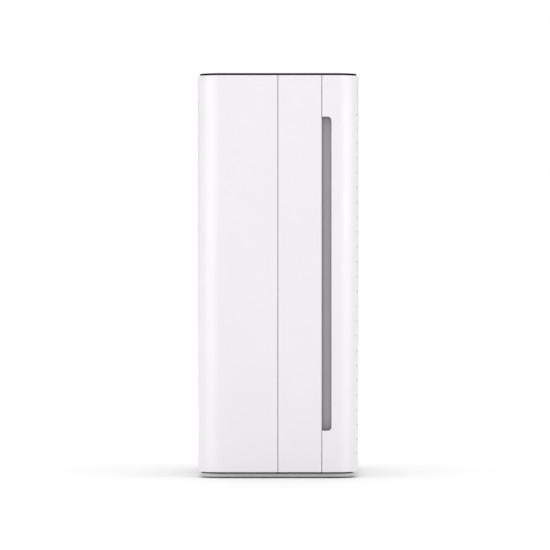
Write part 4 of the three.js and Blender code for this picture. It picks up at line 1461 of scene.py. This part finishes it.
def dc_plugs():
    flange = turned([(0, 0), (9, 0), (9, 5.4), (8.4, 6), (0, 6)], 8)
    grip = [(0, 5), *ribbed(6.1, 6.5, 5.5, 11.5, 5), (7.6, 12), (8, 12.5), (8, 15.5), (7.6, 16)]
    mouth = [(6.4, 16.2), (6.4, 18.6), (6, 19), (4.2, 19), (4.2, 10), (0, 10)]
    sleeve = turned(grip + mouth, 32)
    contact = turned([(0, 9), (1.8, 9), (1.8, 16.5), (1.2, 17.5), (0, 17.5)], 16)
    for node in ("dc_plug_minus", "dc_plug_plus"):
        place = inward_from(node)
        body = [moved(flange, place), moved(sleeve, place)]
        stand_in(node, "body", body, "black_plastic")
        made(f"{node}_contact", [moved(contact, place)], "brass")


def data_port():
    low, high = node_box("data_port_cap")
    centre = (low + high) / 2
    edge = rounded(high.x - low.x, high.z - low.z, 3, -centre.x, centre.z)
    rim = panel("+y", (0, low.y + 3, 0), edge, 3, 0.5, steps=1)
    lid = panel("+y", (0, high.y, 0), rounded(24, 18, 3, -centre.x, centre.z), 7, 0.8, steps=1)
    grips = [block((centre.x - 9, high.y - 3.5, z - 0.6), (centre.x + 9, high.y + 0.5, z + 0.6), 0.4)
             for z in (centre.z - 5, centre.z, centre.z + 5)]
    stand_in("data_port_cap", "cover", [rim, lid, *grips], "rubber")


front_cover()
mid_frame()
rear_shell()
top_glass()
plinth()
feet()
top_deck()
inner_housing()
for side in SIDES:
    fan_frame(side)
    fan_rotor(side)
breaker()
power_button()
button_switch()
chassis_floor()
chassis_frame()
chassis_back()
for side in SIDES:
    cells(side)
    busbars(side)
    clamp_plate(side)
battery_manager()
contactor()
main_fuse()
inverter_board()
heat_sink()
capacitors()
chokes()
hook_rail()
terminal_tray()
terminal_door()
door_pin()
ac_gland()
ground_stud()
dc_plugs()
data_port()

# ---------------------------------------------------------------- floor, light and camera

SIDE_X = -HALF_WIDTH * MM
VIEW_DISTANCE = 6.26 # from the near side face to the camera
VIEW_HEIGHT = 0.303
VIEW_Y = 0.0048
FIELD_WIDTH = 0.8195 # what the picture spans at the near side face
SENSOR = 36
FLOOR_HALF = 30
FLOOR_SHADE_TONE = 0.82 # painted shade of the floor under and beside the unit
FLOOR_FAR_TONE = 0.95
FLOOR_SPECK_TONE = 0.9
FLOOR_FADE = (0.6, 2.6) # distances between which the painted shade turns into the far tone
SOFTBOX_DISTANCE = 3.2
SOFTBOX_HEIGHT = 1.3


def floor():
    """A large sheet of pale paper, with painted shade that darkens it under and beside the unit."""
    mesh = bmesh.new()
    bmesh.ops.create_grid(mesh, x_segments=8, y_segments=8, size=FLOOR_HALF)
    data = bpy.data.meshes.new("floor")
    mesh.to_mesh(data)
    mesh.free()
    n = Nodes("floor_paper")
    distance = n.add("ShaderNodeVectorMath", operation="LENGTH")
    n.link(n.position, distance.inputs[0])
    far = n.ramp(distance.outputs["Value"], 0, 1, *FLOOR_FADE)
    tone = n.mix(far, (FLOOR_SHADE_TONE,) * 3, (FLOOR_FAR_TONE,) * 3)
    tone = n.mix(n.ramp(n.noise(1.5, 2), 0, 0.1), tone, (FLOOR_SPECK_TONE,) * 3)
    gloss = n.ramp(n.noise(3, 2), 0.85, 0.95)
    tooth = n.bump(n.noise(400, 2), 0.05, 0.0002)
    data.materials.append(n.finish(tone, gloss, tooth))
    ground = bpy.data.objects.new("floor", data)
    bpy.context.scene.collection.objects.link(ground)


def world(light, seen):
    """An even white surround: one strength lights the unit, the other is what the camera sees."""
    sky = bpy.data.worlds.new("studio")
    sky.use_nodes = True
    tree = sky.node_tree
    output = tree.nodes["World Output"]
    mix = tree.nodes.new("ShaderNodeMixShader")
    path = tree.nodes.new("ShaderNodeLightPath")
    tree.links.new(path.outputs["Is Camera Ray"], mix.inputs["Fac"])
    for strength, socket in ((light, mix.inputs[1]), (seen, mix.inputs[2])):
        background = tree.nodes.new("ShaderNodeBackground")
        background.inputs["Color"].default_value = (1, 1, 1, 1)
        background.inputs["Strength"].default_value = strength
        tree.links.new(background.outputs["Background"], socket)
    tree.links.new(mix.outputs["Shader"], output.inputs["Surface"])
    bpy.context.scene.world = sky


def overhead(strength, spread):
    """A very wide soft light from straight above, which whitens the floor."""
    data = bpy.data.lights.new("overhead", "SUN")
    data.energy = strength
    data.angle = math.radians(spread)
    bpy.context.scene.collection.objects.link(bpy.data.objects.new("overhead", data))


def softbox(name, azimuth, elevation, width, power):
    """A large soft light around the object; azimuth is measured from the camera's side."""
    turn = math.radians(azimuth)
    rise = math.radians(elevation)
    target = Vector((0, 0, VIEW_HEIGHT))
    away = Vector((-math.cos(turn) * math.cos(rise), math.sin(turn) * math.cos(rise), math.sin(rise)))
    data = bpy.data.lights.new(name, "AREA")
    data.shape = "RECTANGLE"
    data.size, data.size_y = width, SOFTBOX_HEIGHT
    data.energy = power
    lamp = bpy.data.objects.new(name, data)
    lamp.location = target + away * SOFTBOX_DISTANCE
    lamp.rotation_euler = (-away).to_track_quat("-Z", "Y").to_euler()
    bpy.context.scene.collection.objects.link(lamp)


def camera():
    data = bpy.data.cameras.new("camera")
    data.sensor_width = SENSOR
    data.lens = SENSOR * VIEW_DISTANCE / FIELD_WIDTH
    data.clip_end = 100
    eye = bpy.data.objects.new("camera", data)
    eye.location = (SIDE_X - VIEW_DISTANCE, VIEW_Y, VIEW_HEIGHT)
    eye.rotation_euler = (QUARTER, 0, -QUARTER)
    bpy.context.scene.collection.objects.link(eye)
    bpy.context.scene.camera = eye


floor()
world(light=0.22, seen=1)
overhead(strength=2.8, spread=115)
softbox("rear_side_light", azimuth=54, elevation=6, width=3.2, power=32)
softbox("front_side_light", azimuth=-58, elevation=6, width=2.6, power=28)
softbox("far_side_light", azimuth=180, elevation=30, width=2.6, power=18)
camera()
bpy.context.scene.view_settings.view_transform = "Standard"
